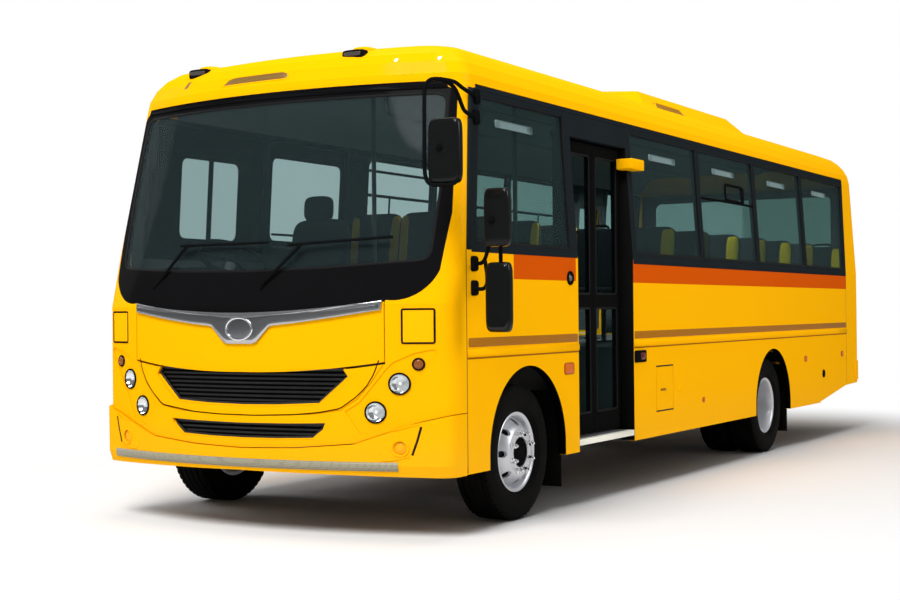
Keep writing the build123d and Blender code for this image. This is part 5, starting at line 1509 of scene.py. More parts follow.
@dataclass
class Sides:
    """Details of the long sides: liners, tape, mouldings, seams, window seals and bars, small fittings."""

    look: Surfaces
    tape_z: Pair = (1.029, 1.08)
    wall_end: float = 7.66
    doorway: Pair = (1.43, 2.31)
    exit_door: Pair = (6.424, 7.066)
    kerb_windows: Quads = (FIRST_BAY, *upright_bays((2.385, 3.655), (3.705, 4.975), (5.025, 6.315)),
        (6.365, 7.612, 6.365, 7.7))
    road_windows: Quads = (FIRST_BAY, *upright_bays((1.395, 2.335), (2.385, 3.655), (3.705, 4.975),
        (5.025, 6.315)), (7.145, 7.612, 7.145, 7.7))
    pale_stations: Pairs = ((0.465, 0.916), (2.748, 3.23), (4.035, 4.517), (5.399, 5.857), (6.723, 7.15))
    # window bay (lower front, lower rear, upper front, upper rear) and the opening left in its border
    dark_borders: tuple[tuple[tuple[float, ...], tuple[float, ...]], ...] = ((FIRST_BAY,
        (0.47, 1.06, 1.72, 2.24)), ((1.395, 2.335, 1.395, 2.335), (1.44, 2.29, 1.74, 2.32)),
        ((2.385, 3.655, 2.385, 3.655), (2.68, 3.62, 1.7, 2.4)))
    window_low: float = 1.602
    window_high: float = 2.438

    def runs(self, side: Side, first: float, gap: float) -> Profile:
        """Stations between which a line runs along a wall, broken at the doors."""
        if side is Side.KERB:
            return [(first, self.doorway[0] - gap), (self.doorway[1] + gap, self.wall_end)]
        return [(first, self.exit_door[0] - gap), (self.exit_door[1] + gap, self.wall_end)]

    def build(self) -> None:
        """Build the details of both sides."""
        for side in Side:
            mapping = on_side(side.value)
            self.build_liners(side)
            self.build_lines(side, mapping)
            self.build_windows(side, mapping)
            self.build_markers(side, mapping)
        self.build_exit_lines()
        self.build_kerb_details()

    def build_liners(self, side: Side) -> None:
        """Black liners over the arches' and doorway's cut edges, and near-black screens in the front arches
        as painted shade.
        """
        liners = [self.arch_liner(side, 0.745, 0.415, 0.49), self.arch_liner(side, 5.34, 0.409, 0.473)]
        put(f"arch_liners_{side.word}", liners, self.look.arch_black, "grille_black")
        # Painted shade: near-black upright sheets before and behind each front wheel stand in for the shade
        # under the body, where the chassis is open.
        screens = [slab("screen", upright(side.value * 0.603), a, b, 0.33, 0.93, -0.003, 0.003)
            for a, b in ((0.24, 0.52), (0.93, 1.25))]
        put(f"splash_screens_{side.word}", screens, self.look.arch_black, "mudflap_rubber")
        if side is Side.KERB:
            jambs = [self.jamb(self.doorway[0], 1.0), self.jamb(self.doorway[1], -1.0)]
            put("door_jambs", jambs, self.look.door_black, "band_black")

    def arch_liner(self, side: Side, station: float, height: float, radius: float) -> Piece:
        """Thin strip inside one wheel arch.

        Formula: a path up, round the arch's circle and down again, its section a rectangle from the
        wall's inner to its outer face and 2.5 mm thick.
        """
        angle = np.linspace(0, math.pi, 60)
        round_path = np.stack([station - radius * np.cos(angle), height + radius * np.sin(angle)], -1)
        path = np.concatenate([[(station - radius, WALL_FOOT)], round_path, [(station + radius, WALL_FOOT)]])
        inward = np.stack([np.cos(angle), -np.sin(angle)], -1)
        inward = np.concatenate([[(1.0, 0.0)], inward, [(-1.0, 0.0)]])
        section = np.array([(1.168, 0.0), (1.2185, 0.0), (1.2185, 0.0025), (1.168, 0.0025)])
        flat = path[:, None] + inward[:, None] * section[None, :, 1:]
        points = xyz(side.value * section[None, :, 0], SEAM_Y + flat[..., 0], flat[..., 1])
        return skin("arch", points, wrap_columns=True, cap=True, smooth=False)

    def jamb(self, station: float, way: float) -> Piece:
        """Thin upright over one cut edge of the doorway: a rectangle carried from skirt to head."""
        z = np.array([WALL_FOOT, 1.27, 1.565, 2.318])
        half = section_row(z, SECTIONS)[0] - 0.0012
        offset = at(station) + way * np.array([0.0003, 0.0003, 0.0035, 0.0035])
        x = np.stack([np.full(4, 1.062), half, half, np.full(4, 1.062)], -1)
        points = xyz(x, offset, z[:, None])
        return skin("jamb", points, wrap_columns=True, cap=True, smooth=False)

    def build_lines(self, side: Side, mapping: Mapping) -> None:
        """Reflective tape, rolled mouldings with a dark line painted as the shadow under each, body seams and
        the edges of the dark band.
        """
        tapes = [strip("tape", mapping, a, b, *self.tape_z, 0.0009, step=0.05)
            for a, b in self.runs(side, 0.02, 0.012)]
        put(f"gold_tape_{side.word}", tapes, self.look.gold_tape, "body_yellow")
        spans = self.runs(side, 0.01, 0.004)
        rails = [ribbon("moulding", [(a, 0.996), (b, 0.996)], mapping, 0.046, 0.018, -0.001, 0.4)
            for a, b in spans]
        put(f"mouldings_{side.word}", rails, self.look.yellow, "body_yellow")
        # Painted shadow: a thin dark brown line under each moulding stands in for the shadow that it casts.
        shadows_under_mouldings = [ribbon("fold", [(a, 0.968), (b, 0.968)], mapping, 0.009, 0.004, 0.0, 0.4) for a, b in spans]
        put(f"moulding_folds_{side.word}", shadows_under_mouldings, self.look.crease, "body_yellow")
        seams = [ribbon("seam", [(0.002, 0.348), (0.002, 1.56)], mapping, 0.0065, 0.0016, 0.0, 0.2),
            ribbon("seam", [(7.655, 0.48), (7.655, 1.535)], mapping, 0.005, 0.0016, 0.0, 0.2)]
        put(f"body_seams_{side.word}", seams, self.look.seal, "band_black")
        edges = [strip("edge", mapping, a, b, low, 1.574, 0.0012, step=0.05)
            for a, b, low in self.band_edges(side)]
        eaves = strip("eaves", mapping, 0.232, 7.752, 2.466, 2.496, 0.0012, step=0.05)
        z = np.linspace(1.562, 2.47, 14)[:, None]
        front = 0.003 + 0.1505 * (z - 1.565) / 0.91 + np.array([0.0, 0.0015, 0.066, 0.0675])
        points = mapping(front, z, np.array([-0.002, 0.0013, 0.0013, -0.002]))
        corner = skin("corner", points, wrap_columns=True, cap=True, flip=side is Side.ROAD)
        put(f"band_edges_{side.word}", edges + [eaves, corner], self.look.band_black, "band_black")

    def band_edges(self, side: Side) -> list[Place]:
        """Stations and foot of the dark glass edge that overlaps the stripe."""
        if side is Side.KERB:
            return [(0.062, self.doorway[0] - 0.003, 1.551), (self.doorway[1] + 0.003, 7.66, 1.536)]
        return [(0.062, self.exit_door[0] - 0.003, 1.545), (self.exit_door[1] + 0.003, 7.66, 1.536)]

    def window_outline(self, row: Floats, gap: float) -> Array:
        """Four corners of a window bay drawn in by a gap."""
        stations = np.asarray(row)[[0, 1, 3, 2]]
        heights = (self.window_low, self.window_low, self.window_high, self.window_high)
        return inset_outline(np.stack([stations, heights], -1), gap)

    def build_windows(self, side: Side, mapping: Mapping) -> None:
        """Seals round every pane, divider bars of the sliding panes and pale ventilation strips."""
        seals, bars = [], []
        rows = self.kerb_windows if side is Side.KERB else self.road_windows
        for row in rows:
            outline = self.window_outline(row, 0.006)
            seals.append(bead("seal", outline, mapping, 0.016, 0.018, -0.009, step=0.12))
            if side is Side.ROAD and row[0] > 2.0 and row[1] - row[0] > 0.9:
                middle = (row[0] + row[1]) / 2
                bars.append(ribbon("bar", [(middle, self.window_low), (middle, 2.13)], mapping, 0.02, 0.01,
                    -0.012, 0.2))
                bars.append(ribbon("rail", [(row[0] + 0.01, 2.14), (row[1] - 0.01, 2.14)], mapping, 0.024,
                    0.01, -0.012, 0.2))
        put(f"window_seals_{side.word}", seals, self.look.seal, "band_black")
        if side is Side.KERB:
            strips = [strip("pale", mapping, a, b, 2.276, 2.32, -0.0125, step=0.1)
                for a, b in self.pale_stations]
            put("pale_strips", strips, self.look.pale_film, "glass")
            vent = bead("vent", rounded(4.305, 4.735, 2.088, 2.212, 0.012), mapping, 0.022, 0.014, -0.01,
                step=0.1)
            bars += [vent, ribbon("jamb", [(4.7, 2.086), (4.7, 2.214)], mapping, 0.05, 0.014, -0.01, 0.1),
                ribbon("rail", [(3.715, 2.074), (4.965, 2.074)], mapping, 0.018, 0.01, -0.012, 0.2)]
        else:
            bars += [ribbon("bar", [(0.785, 1.604), (0.785, 2.436)], mapping, 0.05, 0.01, -0.012, 0.2),
                ribbon("rail", [(2.4, 2.33), (3.64, 2.33)], mapping, 0.022, 0.01, -0.012, 0.2)]
            for outer, hole in self.dark_borders:
                bars.append(ring_panel("border", self.window_outline(outer, 0.004), rounded(*hole, 0.05),
                    mapping, -0.029, -0.024))
        put(f"window_bars_{side.word}", bars, self.look.black_satin, "band_black")

    def build_markers(self, side: Side, mapping: Mapping) -> None:
        """Orange reflectors along the skirt and their rims."""
        amber, housing = [], []
        for station, z, w, h in ((1.285, 0.867, 0.062, 0.03), (3.633, 0.543, 0.016, 0.014),
                (6.271, 0.766, 0.03, 0.02), (7.486, 0.776, 0.03, 0.02)):
            outline = rounded(station - w, station + w, z - h, z + h, min(w, h) * 0.45, 4)
            amber.append(plate("reflector", outline, mapping, 0.006, crown=0.003, step=0.02, edge=0.003))
            housing.append(bead("rim", inset_outline(outline, -0.003), mapping, 0.007, 0.009, 0.002,
                step=0.02))
        put(f"side_reflectors_{side.word}", amber, self.look.amber, "lamp_lens")
        put(f"reflector_rims_{side.word}", housing, self.look.amber_rim, "lamp_lens")

    def build_exit_lines(self) -> None:
        """Tape, liner, window seal and handle of the emergency door, riding with it."""
        mapping = on_side(-1)
        a, b = self.exit_door[0] + 0.006, self.exit_door[1] - 0.006
        place(strip("exit_tape", mapping, a, b, *self.tape_z, 0.0009), self.look.gold_tape, "emergency_door",
            "body_yellow")
        outline = rounded(a + 0.07, b - 0.072, self.window_low + 0.018, 2.254, 0.02)
        hole = rounded(a + 0.08, b - 0.082, self.window_low + 0.028, 2.244, 0.03)
        lined = np.array([(a + 0.025, 1.03), (b - 0.025, 1.03), (b - 0.025, 2.295), (a + 0.025, 2.295)])
        place(ring_panel("exit_liner", lined, hole, mapping, -0.052, -0.0465), self.look.liner_dark,
            "emergency_door", "trim_grey")
        place(bead("exit_seal", outline, mapping, 0.016, 0.018, -0.009, step=0.1), self.look.seal,
            "emergency_door", "band_black")
        base = plate("exit_handle_plate", rounded(6.9, 7.02, 1.22, 1.3, 0.014), mapping, 0.006, step=0.02)
        place(base, self.look.black_satin, "emergency_door", "band_black")
        x = -1.22
        grip = tube("exit_handle", [(x - 0.004, at(6.925), 1.26), (x - 0.03, at(6.93), 1.26),
            (x - 0.034, at(6.96), 1.26), (x - 0.03, at(6.99), 1.26), (x - 0.004, at(6.995), 1.26)], 0.008,
            smooth_path=2)
        place(grip, self.look.chrome, "emergency_door", "bright_trim")

    def build_kerb_details(self) -> None:
        """Red lamp, door valve, dark dashes painted as the shadows of the tool lid's hinges, the lid's lock,
        knob and filler cap of the kerb side.
        """
        mapping = on_side(1)
        housing = plate("side_lamp_housing", rounded(2.316, 2.512, 0.866, 0.948, 0.014), mapping, 0.01,
            crown=0.002, step=0.02, edge=0.005)
        place(housing, self.look.black_satin, "root", "band_black")
        lens = plate("side_lamp", rounded(2.4, 2.486, 0.884, 0.932, 0.012), mapping, 0.0135, crown=0.004,
            step=0.02, edge=0.004)
        place(lens, self.look.dark_red, "root", "lamp_lens")
        center = (1.31, 1.425)
        ring = bead("valve_ring", arc(center, 0.036, 32), mapping, 0.016, 0.014, 0.004, step=0.008)
        place(ring, self.look.black_satin, "root", "band_black")
        boss = relief("valve_boss", arc(center, 0.029, 28), mapping, (1.0, 0.9, 0.55, 0.5, 0.0),
            (-0.002, 0.004, 0.005, 0.011, 0.012))
        place(boss, self.look.rail_grey, "root", "bright_trim")
        low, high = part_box("tool_lid")
        # Painted shadow: dark dashes along the tool lid's top and bottom edges stand in for the shadows of
        # its hinges.
        dashes = [ribbon("hinge", [(2.7, z), (3.02, z)], mapping, 0.01, 0.004, 0.0, 0.05)
            for z in (low[2] - 0.003, high[2] + 0.003)]
        put("lid_hinges", dashes, self.look.seal, "grille_black")
        lock = plate("lid_lock", rounded(2.78, 2.88, 0.652, 0.668, 0.006), mapping, 0.003, step=0.02)
        place(lock, self.look.crease, "tool_lid", "body_yellow")
        knob = relief("skirt_knob", arc((3.156, 0.648), 0.03, 28), mapping, (1.0, 0.9, 0.6, 0.0),
            (-0.001, 0.003, 0.0045, 0.0048))
        place(knob, self.look.yellow, "root", "body_yellow")
        cap = relief("filler_cap", arc((6.843, 0.608), 0.038, 32), mapping, (1.0, 0.95, 0.8, 0.72, 0.0),
            (-0.001, 0.008, 0.01, 0.006, 0.006))
        place(cap, self.look.black_satin, "root", "grille_black")


@dataclass
class PassengerDoor:
    """Rubber seals of the panes in the two door leaves, and the ribs of the step."""

    look: Surfaces
    face_x: float = 1.12
    leaves: tuple[tuple[str, float, float], ...] = (("front", 1.445, 1.8675), ("rear", 1.8725, 2.295))
    panes: Pairs = ((0.56, 1.24), (1.33, 2.23))

    def build(self) -> None:
        """Build the details of both leaves and the step."""
        for word, front, rear in self.leaves:
            seals = [bead("pane_seal", rounded(front + 0.047, rear - 0.047, low + 0.002, high - 0.002, 0.02),
                upright(self.face_x), 0.014, 0.008, -0.001, step=0.08) for low, high in self.panes]
            put(f"door_{word}_seals", seals, self.look.seal, "band_black", f"door_{word}")
        ribs = [tube("rib", [(1.2185, at(1.44), z), (1.2185, at(2.3), z)], 0.0022, 8)
            for z in 0.384 + np.arange(5) * 0.0065]
        put("step_ribs", ribs, self.look.step_metal, "step_aluminium")


def slab(name: str, mapping: Mapping, a0: float, a1: float, b0: float, b1: float, low: float, high: float,
        step: float = 0.25) -> Piece:
    """Closed flat slab between two lifts over a rectangle of a surface."""
    outline = densified(rounded(a0, a1, b0, b1, 0.012, 3), step)
    flat = shrunk(outline, np.array([0.0, 1.0, 1.0, 0.0]))
    lifts = np.array([low, low, high, high])[:, None]
    return skin(name, mapping(flat[..., 0], flat[..., 1], lifts), wrap_columns=True, smooth=False)


def upright(x: float) -> Mapping:
    """Function that puts (station, z, lift) on an upright plane along the coach."""
    def mapped(station: Array, z: Array, lift: Lift) -> Array:
        """Places on the plane."""
        station, z = paired(station, z)
        return np.stack([x + np.zeros_like(station) + lift, SEAM_Y + station, z], -1)
    return mapped


def tilted(x: float, station: float, z: float, lean: float) -> Callable[[Array], Array]:
    """Function that leans local points back about X and moves them to a place."""
    c, s = math.cos(lean), math.sin(lean)

    def moved(local: Array) -> Array:
        """Rotation by the lean, then the move."""
        y, up = local[..., 1], local[..., 2]
        return np.stack([x + local[..., 0], at(station) + c * y + s * up, z - s * y + c * up], -1)
    return moved


@dataclass
class Saloon:
    """Seats, rails, liners and the driver's place."""

    look: Surfaces
    kerb_rows: tuple[float, ...] = (2.9, 3.62, 4.34, 5.06, 5.78, 6.5)
    road_rows: tuple[float, ...] = (1.9, 2.62, 3.34, 4.06, 4.78, 5.5)
    rear_row: float = 7.48
    inner: float = 0.24
    outer: float = 1.11
    driver_x: float = -0.69
    back_lean: float = 0.15

    def places(self) -> Array:
        """(x, station, half width) of every single seat."""
        width = (self.outer - self.inner) / 2
        rows = [(side * (self.inner + width * (k + 0.5)), station, width / 2)
            for side, stations in ((1, self.kerb_rows), (-1, self.road_rows)) for station in stations
            for k in (0, 1)]
        rows += [(-self.outer + self.outer * 0.4 * (k + 0.5), self.rear_row, self.outer * 0.2)
            for k in range(5)]
        return np.array(rows)

    def build(self) -> None:
        """Build everything inside the saloon."""
        self.build_seats()
        self.build_driver()
        self.build_rails()
        self.build_liners()

    def build_seats(self) -> None:
        """Crowned seat cushions and backs, with bolsters and grab handles; some bolsters take a darker copy
        of the vinyl as painted shade.
        """
        seats, backs, bolsters, painted_shade_parts, grips = [], [], [], [], []
        for x, station, half in self.places():
            seats.append(pillow("seat", (half - 0.004, 0.212, 0.038),
                tilted(x, station + 0.216, 1.354, -0.035), 0.3, crown=0.009, channels=3, depth=0.004,
                count=18))
            tall = x < 0
            middle, reach = (1.672, 0.292) if tall else (1.612, 0.232)
            depth = station + 0.474 + (middle - 1.612) * self.back_lean
            backs.append(pillow("back", (half - 0.004, 0.034, reach),
                tilted(x, depth, middle, self.back_lean), 0.28, crown=0.0, count=18))
            wall = x > 0.6
            # Painted shade: bolsters of the aisle seats and of every other kerb wall row take the darker copy
            # of the vinyl.
            bright = tall or (wall and round((station - self.kerb_rows[0]) / 0.72) % 2 == 0)
            wide = 0.052 if wall else 0.036
            for edge in (-1, 1) if tall else ((1,) if wall else (-1,)):
                (bolsters if bright else painted_shade_parts).append(pillow("bolster", (wide, 0.02, reach - 0.08),
                    tilted(x + edge * (half - wide - 0.006), depth - 0.012, middle + 0.06, self.back_lean),
                    0.45, count=12))
        s = self.look
        seats = put("seat_cushions", seats, s.cloth, "seat_fabric")
        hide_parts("seats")
        backs = put("seat_backs", backs, s.cloth, "seat_fabric")
        for name, parts, finish in (("seat_bolsters", bolsters, s.bolster),
                ("shaded_bolsters", painted_shade_parts, s.bolster_dim)):
            piece = put(name, parts, finish, "seat_fabric")
        for x, station, half in self.places()[::2]:
            grips.append(tube("grip", [(x - 0.1, at(station + 0.508), 1.825),
                (x - 0.1, at(station + 0.518), 1.868), (x + 0.1, at(station + 0.518), 1.868),
                (x + 0.1, at(station + 0.508), 1.825)], 0.01, 10, smooth_path=3))
        put("seat_grips", grips, self.look.black_satin, "trim_grey")

    def build_driver(self) -> None:
        """Driver's seat with its headrest, on a pleated base."""
        x = self.driver_x
        parts = [pillow("cushion", (0.236, 0.205, 0.048), tilted(x, 1.088, 1.392, -0.03), 0.3, 0.008, 3,
            0.004, 26), pillow("squab", (0.226, 0.045, 0.215), tilted(x, 1.36, 1.65, 0.135), 0.42, 0.0, 0,
            0.0, 26), pillow("head", (0.11, 0.042, 0.088), tilted(x - 0.03, 1.393, 1.938, 0.06), 0.52, 0.0, 0,
            0.0, 22)]
        seat = put("driver_cushions", parts, self.look.cloth, "seat_fabric")
        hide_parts("driver_seat")
        levels = np.linspace(0.972, 1.344, 25)
        fold = 0.008 * np.cos(np.arange(25) * math.pi)
        outline = squircle(0.15, 0.185, 5.0, 48)
        grid = outline[None] * (1 - 0.03 + fold[:, None, None] / 0.15)
        points = xyz(x + grid[..., 0], at(1.145) + grid[..., 1], levels[:, None])
        place(skin("driver_base", points, wrap_columns=True, cap=True), self.look.black_matt, "root",
            "trim_grey")
        hood = pillow("binnacle", (0.26, 0.085, 0.045), tilted(x, 0.045, 1.452, 0.25), 0.4, 0.0, 0, 0.0, 24)
        place(hood, self.look.black_matt, "root", "trim_grey")

    def build_rails(self) -> None:
        """Window guard rails, stanchions and the roof rails."""
        guards = [tube("guard", [(-1.142, at(a), z), (-1.142, at(b), z)], 0.009, 10)
            for a, b in ((1.42, 6.38), (7.12, 7.6)) for z in (1.69, 1.78)]
        posts = [tube("post", [(x, at(station), 0.972), (x, at(station), 2.7)], 0.016, 14)
            for x, station in ((0.3, 2.36), (-0.4, 1.6))]
        for x in (-0.36, 0.36):
            posts.append(tube("roof_rail", [(x, at(1.7), 2.72), (x, at(1.72), 2.6), (x, at(1.9), 2.585),
                (x, at(7.5), 2.585), (x, at(7.68), 2.6), (x, at(7.7), 2.7)], 0.015, 12, smooth_path=3))
        put("guard_rails", guards, self.look.rail_grey, "bright_trim")
        put("grab_rails", posts, self.look.rail_grey, "trim_grey")

    def build_liners(self) -> None:
        """Ceiling liner, and liners inside the walls, posts, corners and tail.

        Formula of the ceiling: height = min(profile across, profile along), which keeps it a
        centimetre under the roof's inner face.
        """
        x = np.linspace(-1.085, 1.085, 45)
        station = np.concatenate([np.linspace(0.22, 1.6, 20), np.linspace(1.9, 7.2, 12),
            np.linspace(7.3, 7.98, 8)])
        across = np.interp(np.abs(x), [0.0, 0.38, 0.63, 0.85, 0.95, 1.01, 1.05, 1.085],
            [2.8, 2.775, 2.73, 2.675, 2.632, 2.585, 2.53, 2.47])
        along = np.interp(station, [0.22, 0.27, 0.62, 0.96, 1.45, 7.0, 7.5, 7.8, 7.98],
            [2.67, 2.68, 2.725, 2.765, 2.8, 2.8, 2.765, 2.705, 2.64])
        z = np.minimum(across[None, :], along[:, None])
        round_in = 1 - 0.1 * np.clip((0.42 - station) / 0.2, 0, 1) ** 2
        grid = xyz(x[None, :] * round_in[:, None], at(0.0) + station[:, None], z)
        under = grid - np.array([0.0, 0.0, 0.004])
        shell = np.concatenate([grid, under[::-1]])
        place(skin("ceiling_liner", shell, wrap_rows=True), self.look.liner, "root", "trim_grey")
        panels = []
        for side, spans in ((Side.KERB, ((0.1, 1.38), (2.36, 8.062))),
                (Side.ROAD, ((0.1, 6.38), (7.12, 8.062)))):
            for a, b in spans:
                panels.append(slab("panel", on_side(side.value), a, b, 0.985, 1.575, -0.052, -0.0465))
            for a, b, low, high in ((0.006, 0.108, 1.4, 1.88), (0.04, 0.15, 1.84, 2.17),
                    (0.09, 0.205, 2.13, 2.46)):
                panels.append(slab("pillar", on_side(side.value), a, b, low, high, -0.052, -0.0465))
            panels.append(slab("corner", on_side(side.value), 7.715, 8.062, 1.56, 2.455, -0.054, -0.0485))
        for side, a, b, foot in ((Side.ROAD, 6.32, 6.455, 1.56), (Side.ROAD, 7.03, 7.142, 1.56),
                (Side.ROAD, 6.3, 7.16, 2.288), (Side.KERB, 1.345, 2.375, 2.326)):
            panels.append(slab("post", on_side(side.value), a, b, foot, 2.462, -0.06, -0.0545))
        low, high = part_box("rear_glass")
        hole = rounded(low[0] + 0.02, high[0] - 0.02, low[2] + 0.02, high[2] - 0.02, 0.05)
        foot, head = section_row(np.array([0.985, 2.44]), SECTIONS)[0] - 0.052
        outer = np.array([(-foot, 0.985), (foot, 0.985), (head, 2.44), (-head, 2.44)])
        panels.append(ring_panel("tail_liner", outer, hole, on_tail, -0.058, -0.052))
        put("wall_liners", panels, self.look.liner_dark, "trim_grey")


@dataclass
class RoofDetails:
    """Vents of the roof pod, drip rails, the brow's lamps and fairings, and the sign box."""

    look: Surfaces

    def pod_side(self, side: int) -> Mapping:
        """Function that puts (station, height share, lift) on a flank of the pod."""
        def mapped(station: Array, share: Array, lift: Lift) -> Array:
            """Places between the flank's foot and its top edge."""
            station, share = paired(station, share)
            x = 0.88 - 0.138 * share + 0.717 * lift
            return np.stack([side * x, SEAM_Y + station, 2.755 + 0.142 * share + 0.697 * lift], -1)
        return mapped

    def build(self) -> None:
        """Build the vents and rails."""
        frames, meshes, slats = [], [], []
        for side in (-1, 1):
            mapping = self.pod_side(side)
            outline = np.array([(3.6, 0.02), (4.19, 0.02), (4.25, 0.12), (4.24, 0.46), (3.72, 0.48)])
            fine = densified(outline, 0.05)
            meshes.append(plate("mesh", outline, mapping, 0.0015, step=0.05, rings=3))
            for share in (0.1, 0.2, 0.3, 0.4):
                slats.append(ribbon("slat", [(3.66, share), (4.19, share)], mapping, 0.03, 0.007, 0.003,
                    0.05))
            frames.append(bead("frame", fine, mapping, 0.03, 0.01, 0.001, step=0.04))
        put("pod_vents", meshes, self.look.pod_mesh, "grille_black")
        put("pod_vent_slats", slats, self.look.pod_mesh, "grille_black")
        put("pod_vent_frames", frames, self.look.yellow, "body_yellow")
        rails = [ribbon("rail", [(0.24, 2.5005), (7.745, 2.5005)], on_side(side), 0.01, 0.01, 0.001, 0.4)
            for side in (-1, 1)]
        put("drip_rails", rails, self.look.yellow, "body_yellow")
        self.build_markers()

    def build_markers(self) -> None:
        """Low marker lamps on the brow with their fairings, and the sign box behind the doorway."""
        lamps, lenses, humps = [], [], []
        for x, station, top in ((0.48, 0.015, 2.722), (-0.66, 0.035, 2.714)):
            lamps.append(pillow("lamp", (0.076, 0.036, 0.03), tilted(x, station + 0.036, top - 0.03, 0.0),
                0.42, count=20))
            lenses.append(pillow("lens", (0.058, 0.012, 0.013), tilted(x, station + 0.01, top - 0.026, 0.0),
                0.42, count=14))
            humps.append(pillow("hump", (0.06, 0.15, 0.036), tilted(x, station + 0.205, top - 0.004, 0.0),
                0.6, count=26))
        lamps = put("roof_lamps", lamps, self.look.black_gloss, "band_black")
        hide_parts("roof_markers")
        put("roof_lamp_lenses", lenses, self.look.smoke_lens, "lamp_lens")
        outline = squircle(0.1075, 0.036, 14.0, 64)
        share = np.array([0.0, 1.0, 1.0, 0.985, 0.95, 0.0])[:, None, None]
        depth = np.array([1.15, 1.15, 1.257, 1.261, 1.262, 1.262])[:, None]
        grid = outline[None] * share
        points = xyz(depth, at(2.3125) + grid[..., 0], 2.206 + grid[..., 1])
        sign = skin("sign_box", points, wrap_columns=True)
        sign.data.set_sharp_from_angle(angle=math.radians(40))
        place(sign, self.look.yellow, "root", "body_yellow")
        humps = put("lamp_fairings", humps, self.look.yellow, "body_yellow")
        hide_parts("marker_fairings")


@dataclass
class Tail:
    """Rear window seal, seam, bare plate with the lamps over it, and reflectors."""

    look: Surfaces

    def build(self) -> None:
        """Build the tail's details."""
        glass = rounded(-0.978, 0.978, 1.622, 2.378, 0.088, 8)
        place(bead("rear_seal", glass, on_tail, 0.022, 0.014, -0.002, step=0.08), self.look.seal, "root",
            "band_black")
        place(plate("bare_plate", rounded(-0.26, 0.26, 0.76, 0.88, 0.012), on_tail, 0.004, step=0.04),
            self.look.plate_yellow, "root", "body_yellow")
        place(bead("plate_rim", rounded(-0.262, 0.262, 0.758, 0.882, 0.014), on_tail, 0.008, 0.01, 0.002,
            step=0.04), self.look.black_satin, "root", "band_black")
        seam = [(-0.8, 0.72), (-0.8, 1.5), (0.8, 1.5), (0.8, 0.72)]
        place(ribbon("tail_seams", seam, on_tail, 0.004, 0.0024, 0.0, 0.1), self.look.seal, "root",
            "band_black")
        lamps = [plate("hood", rounded(x - 0.03, x + 0.03, 0.895, 0.915, 0.006), on_tail, 0.012, step=0.02)
            for x in (-0.16, 0.16)]
        put("plate_lamps", lamps, self.look.black_satin, "grille_black")
        reflectors = [plate("reflector", rounded(side * 0.9 - 0.05, side * 0.9 + 0.05, 0.575, 0.61, 0.008),
            lambda x, z, lift: on_tail(x, z, lift) + np.array([0.0, 0.008, 0.0]), 0.004, crown=0.002,
            step=0.02) for side in (-1, 1)]
        put("tail_reflectors", reflectors, self.look.red_lens, "lamp_lens")


# ---------------------------------------------------------------- camera and stage
@dataclass
class CameraRig:
    """The camera: its place, the way it looks and its lens."""

    position: Place = (5.172, -10.917, 1.229)
    forward: Place = (-0.4992, 0.8665, 0.0073)
    up: Place = (0.0117, -0.0017, 0.9999)
    lens_mm: float = 59.55
    sensor_mm: float = 36.0

    def build(self) -> Piece:
        """Make the camera and hand it to the scene."""
        data = bpy.data.cameras.new("camera")
        data.lens = self.lens_mm
        data.sensor_width = self.sensor_mm
        data.clip_end = 200.0
        camera = bpy.data.objects.new("camera", data)
        forward = Vector(self.forward).normalized()
        right = forward.cross(Vector(self.up)).normalized()
        up = right.cross(forward)
        turn = Matrix((right, up, -forward)).transposed().to_4x4()
        camera.matrix_world = Matrix.Translation(self.position) @ turn
        bpy.context.scene.collection.objects.link(camera)
        bpy.context.scene.camera = camera
        return camera


@dataclass
class Lamp:
    """One area lamp: where it is, what it faces, its size and power."""

    name: str
    position: Place
    target: Place
    size: float
    power: float
    mirrored: bool = True
    spares: str = ""

    def build(self) -> None:
        """Make the lamp; the named object, if any, is left unlit by it."""
        data = bpy.data.lights.new(self.name, "AREA")
        data.energy = self.power
        data.shape = "DISK"
        data.size = self.size
        lamp = bpy.data.objects.new(self.name, data)
        aim = Vector(self.target) - Vector(self.position)
        lamp.matrix_world = Matrix.Translation(self.position) @ aim.to_track_quat("-Z",
            "Y").to_matrix().to_4x4()
        if self.spares:
            spared = bpy.data.collections.new(f"{self.name}_spares")
            spared.objects.link(bpy.data.objects[self.spares])
            lamp.light_linking.receiver_collection = spared
            spared.collection_objects[0].light_linking.link_state = "EXCLUDE"
        lamp.visible_camera = False
        lamp.visible_glossy = self.mirrored
        bpy.context.scene.collection.objects.link(lamp)


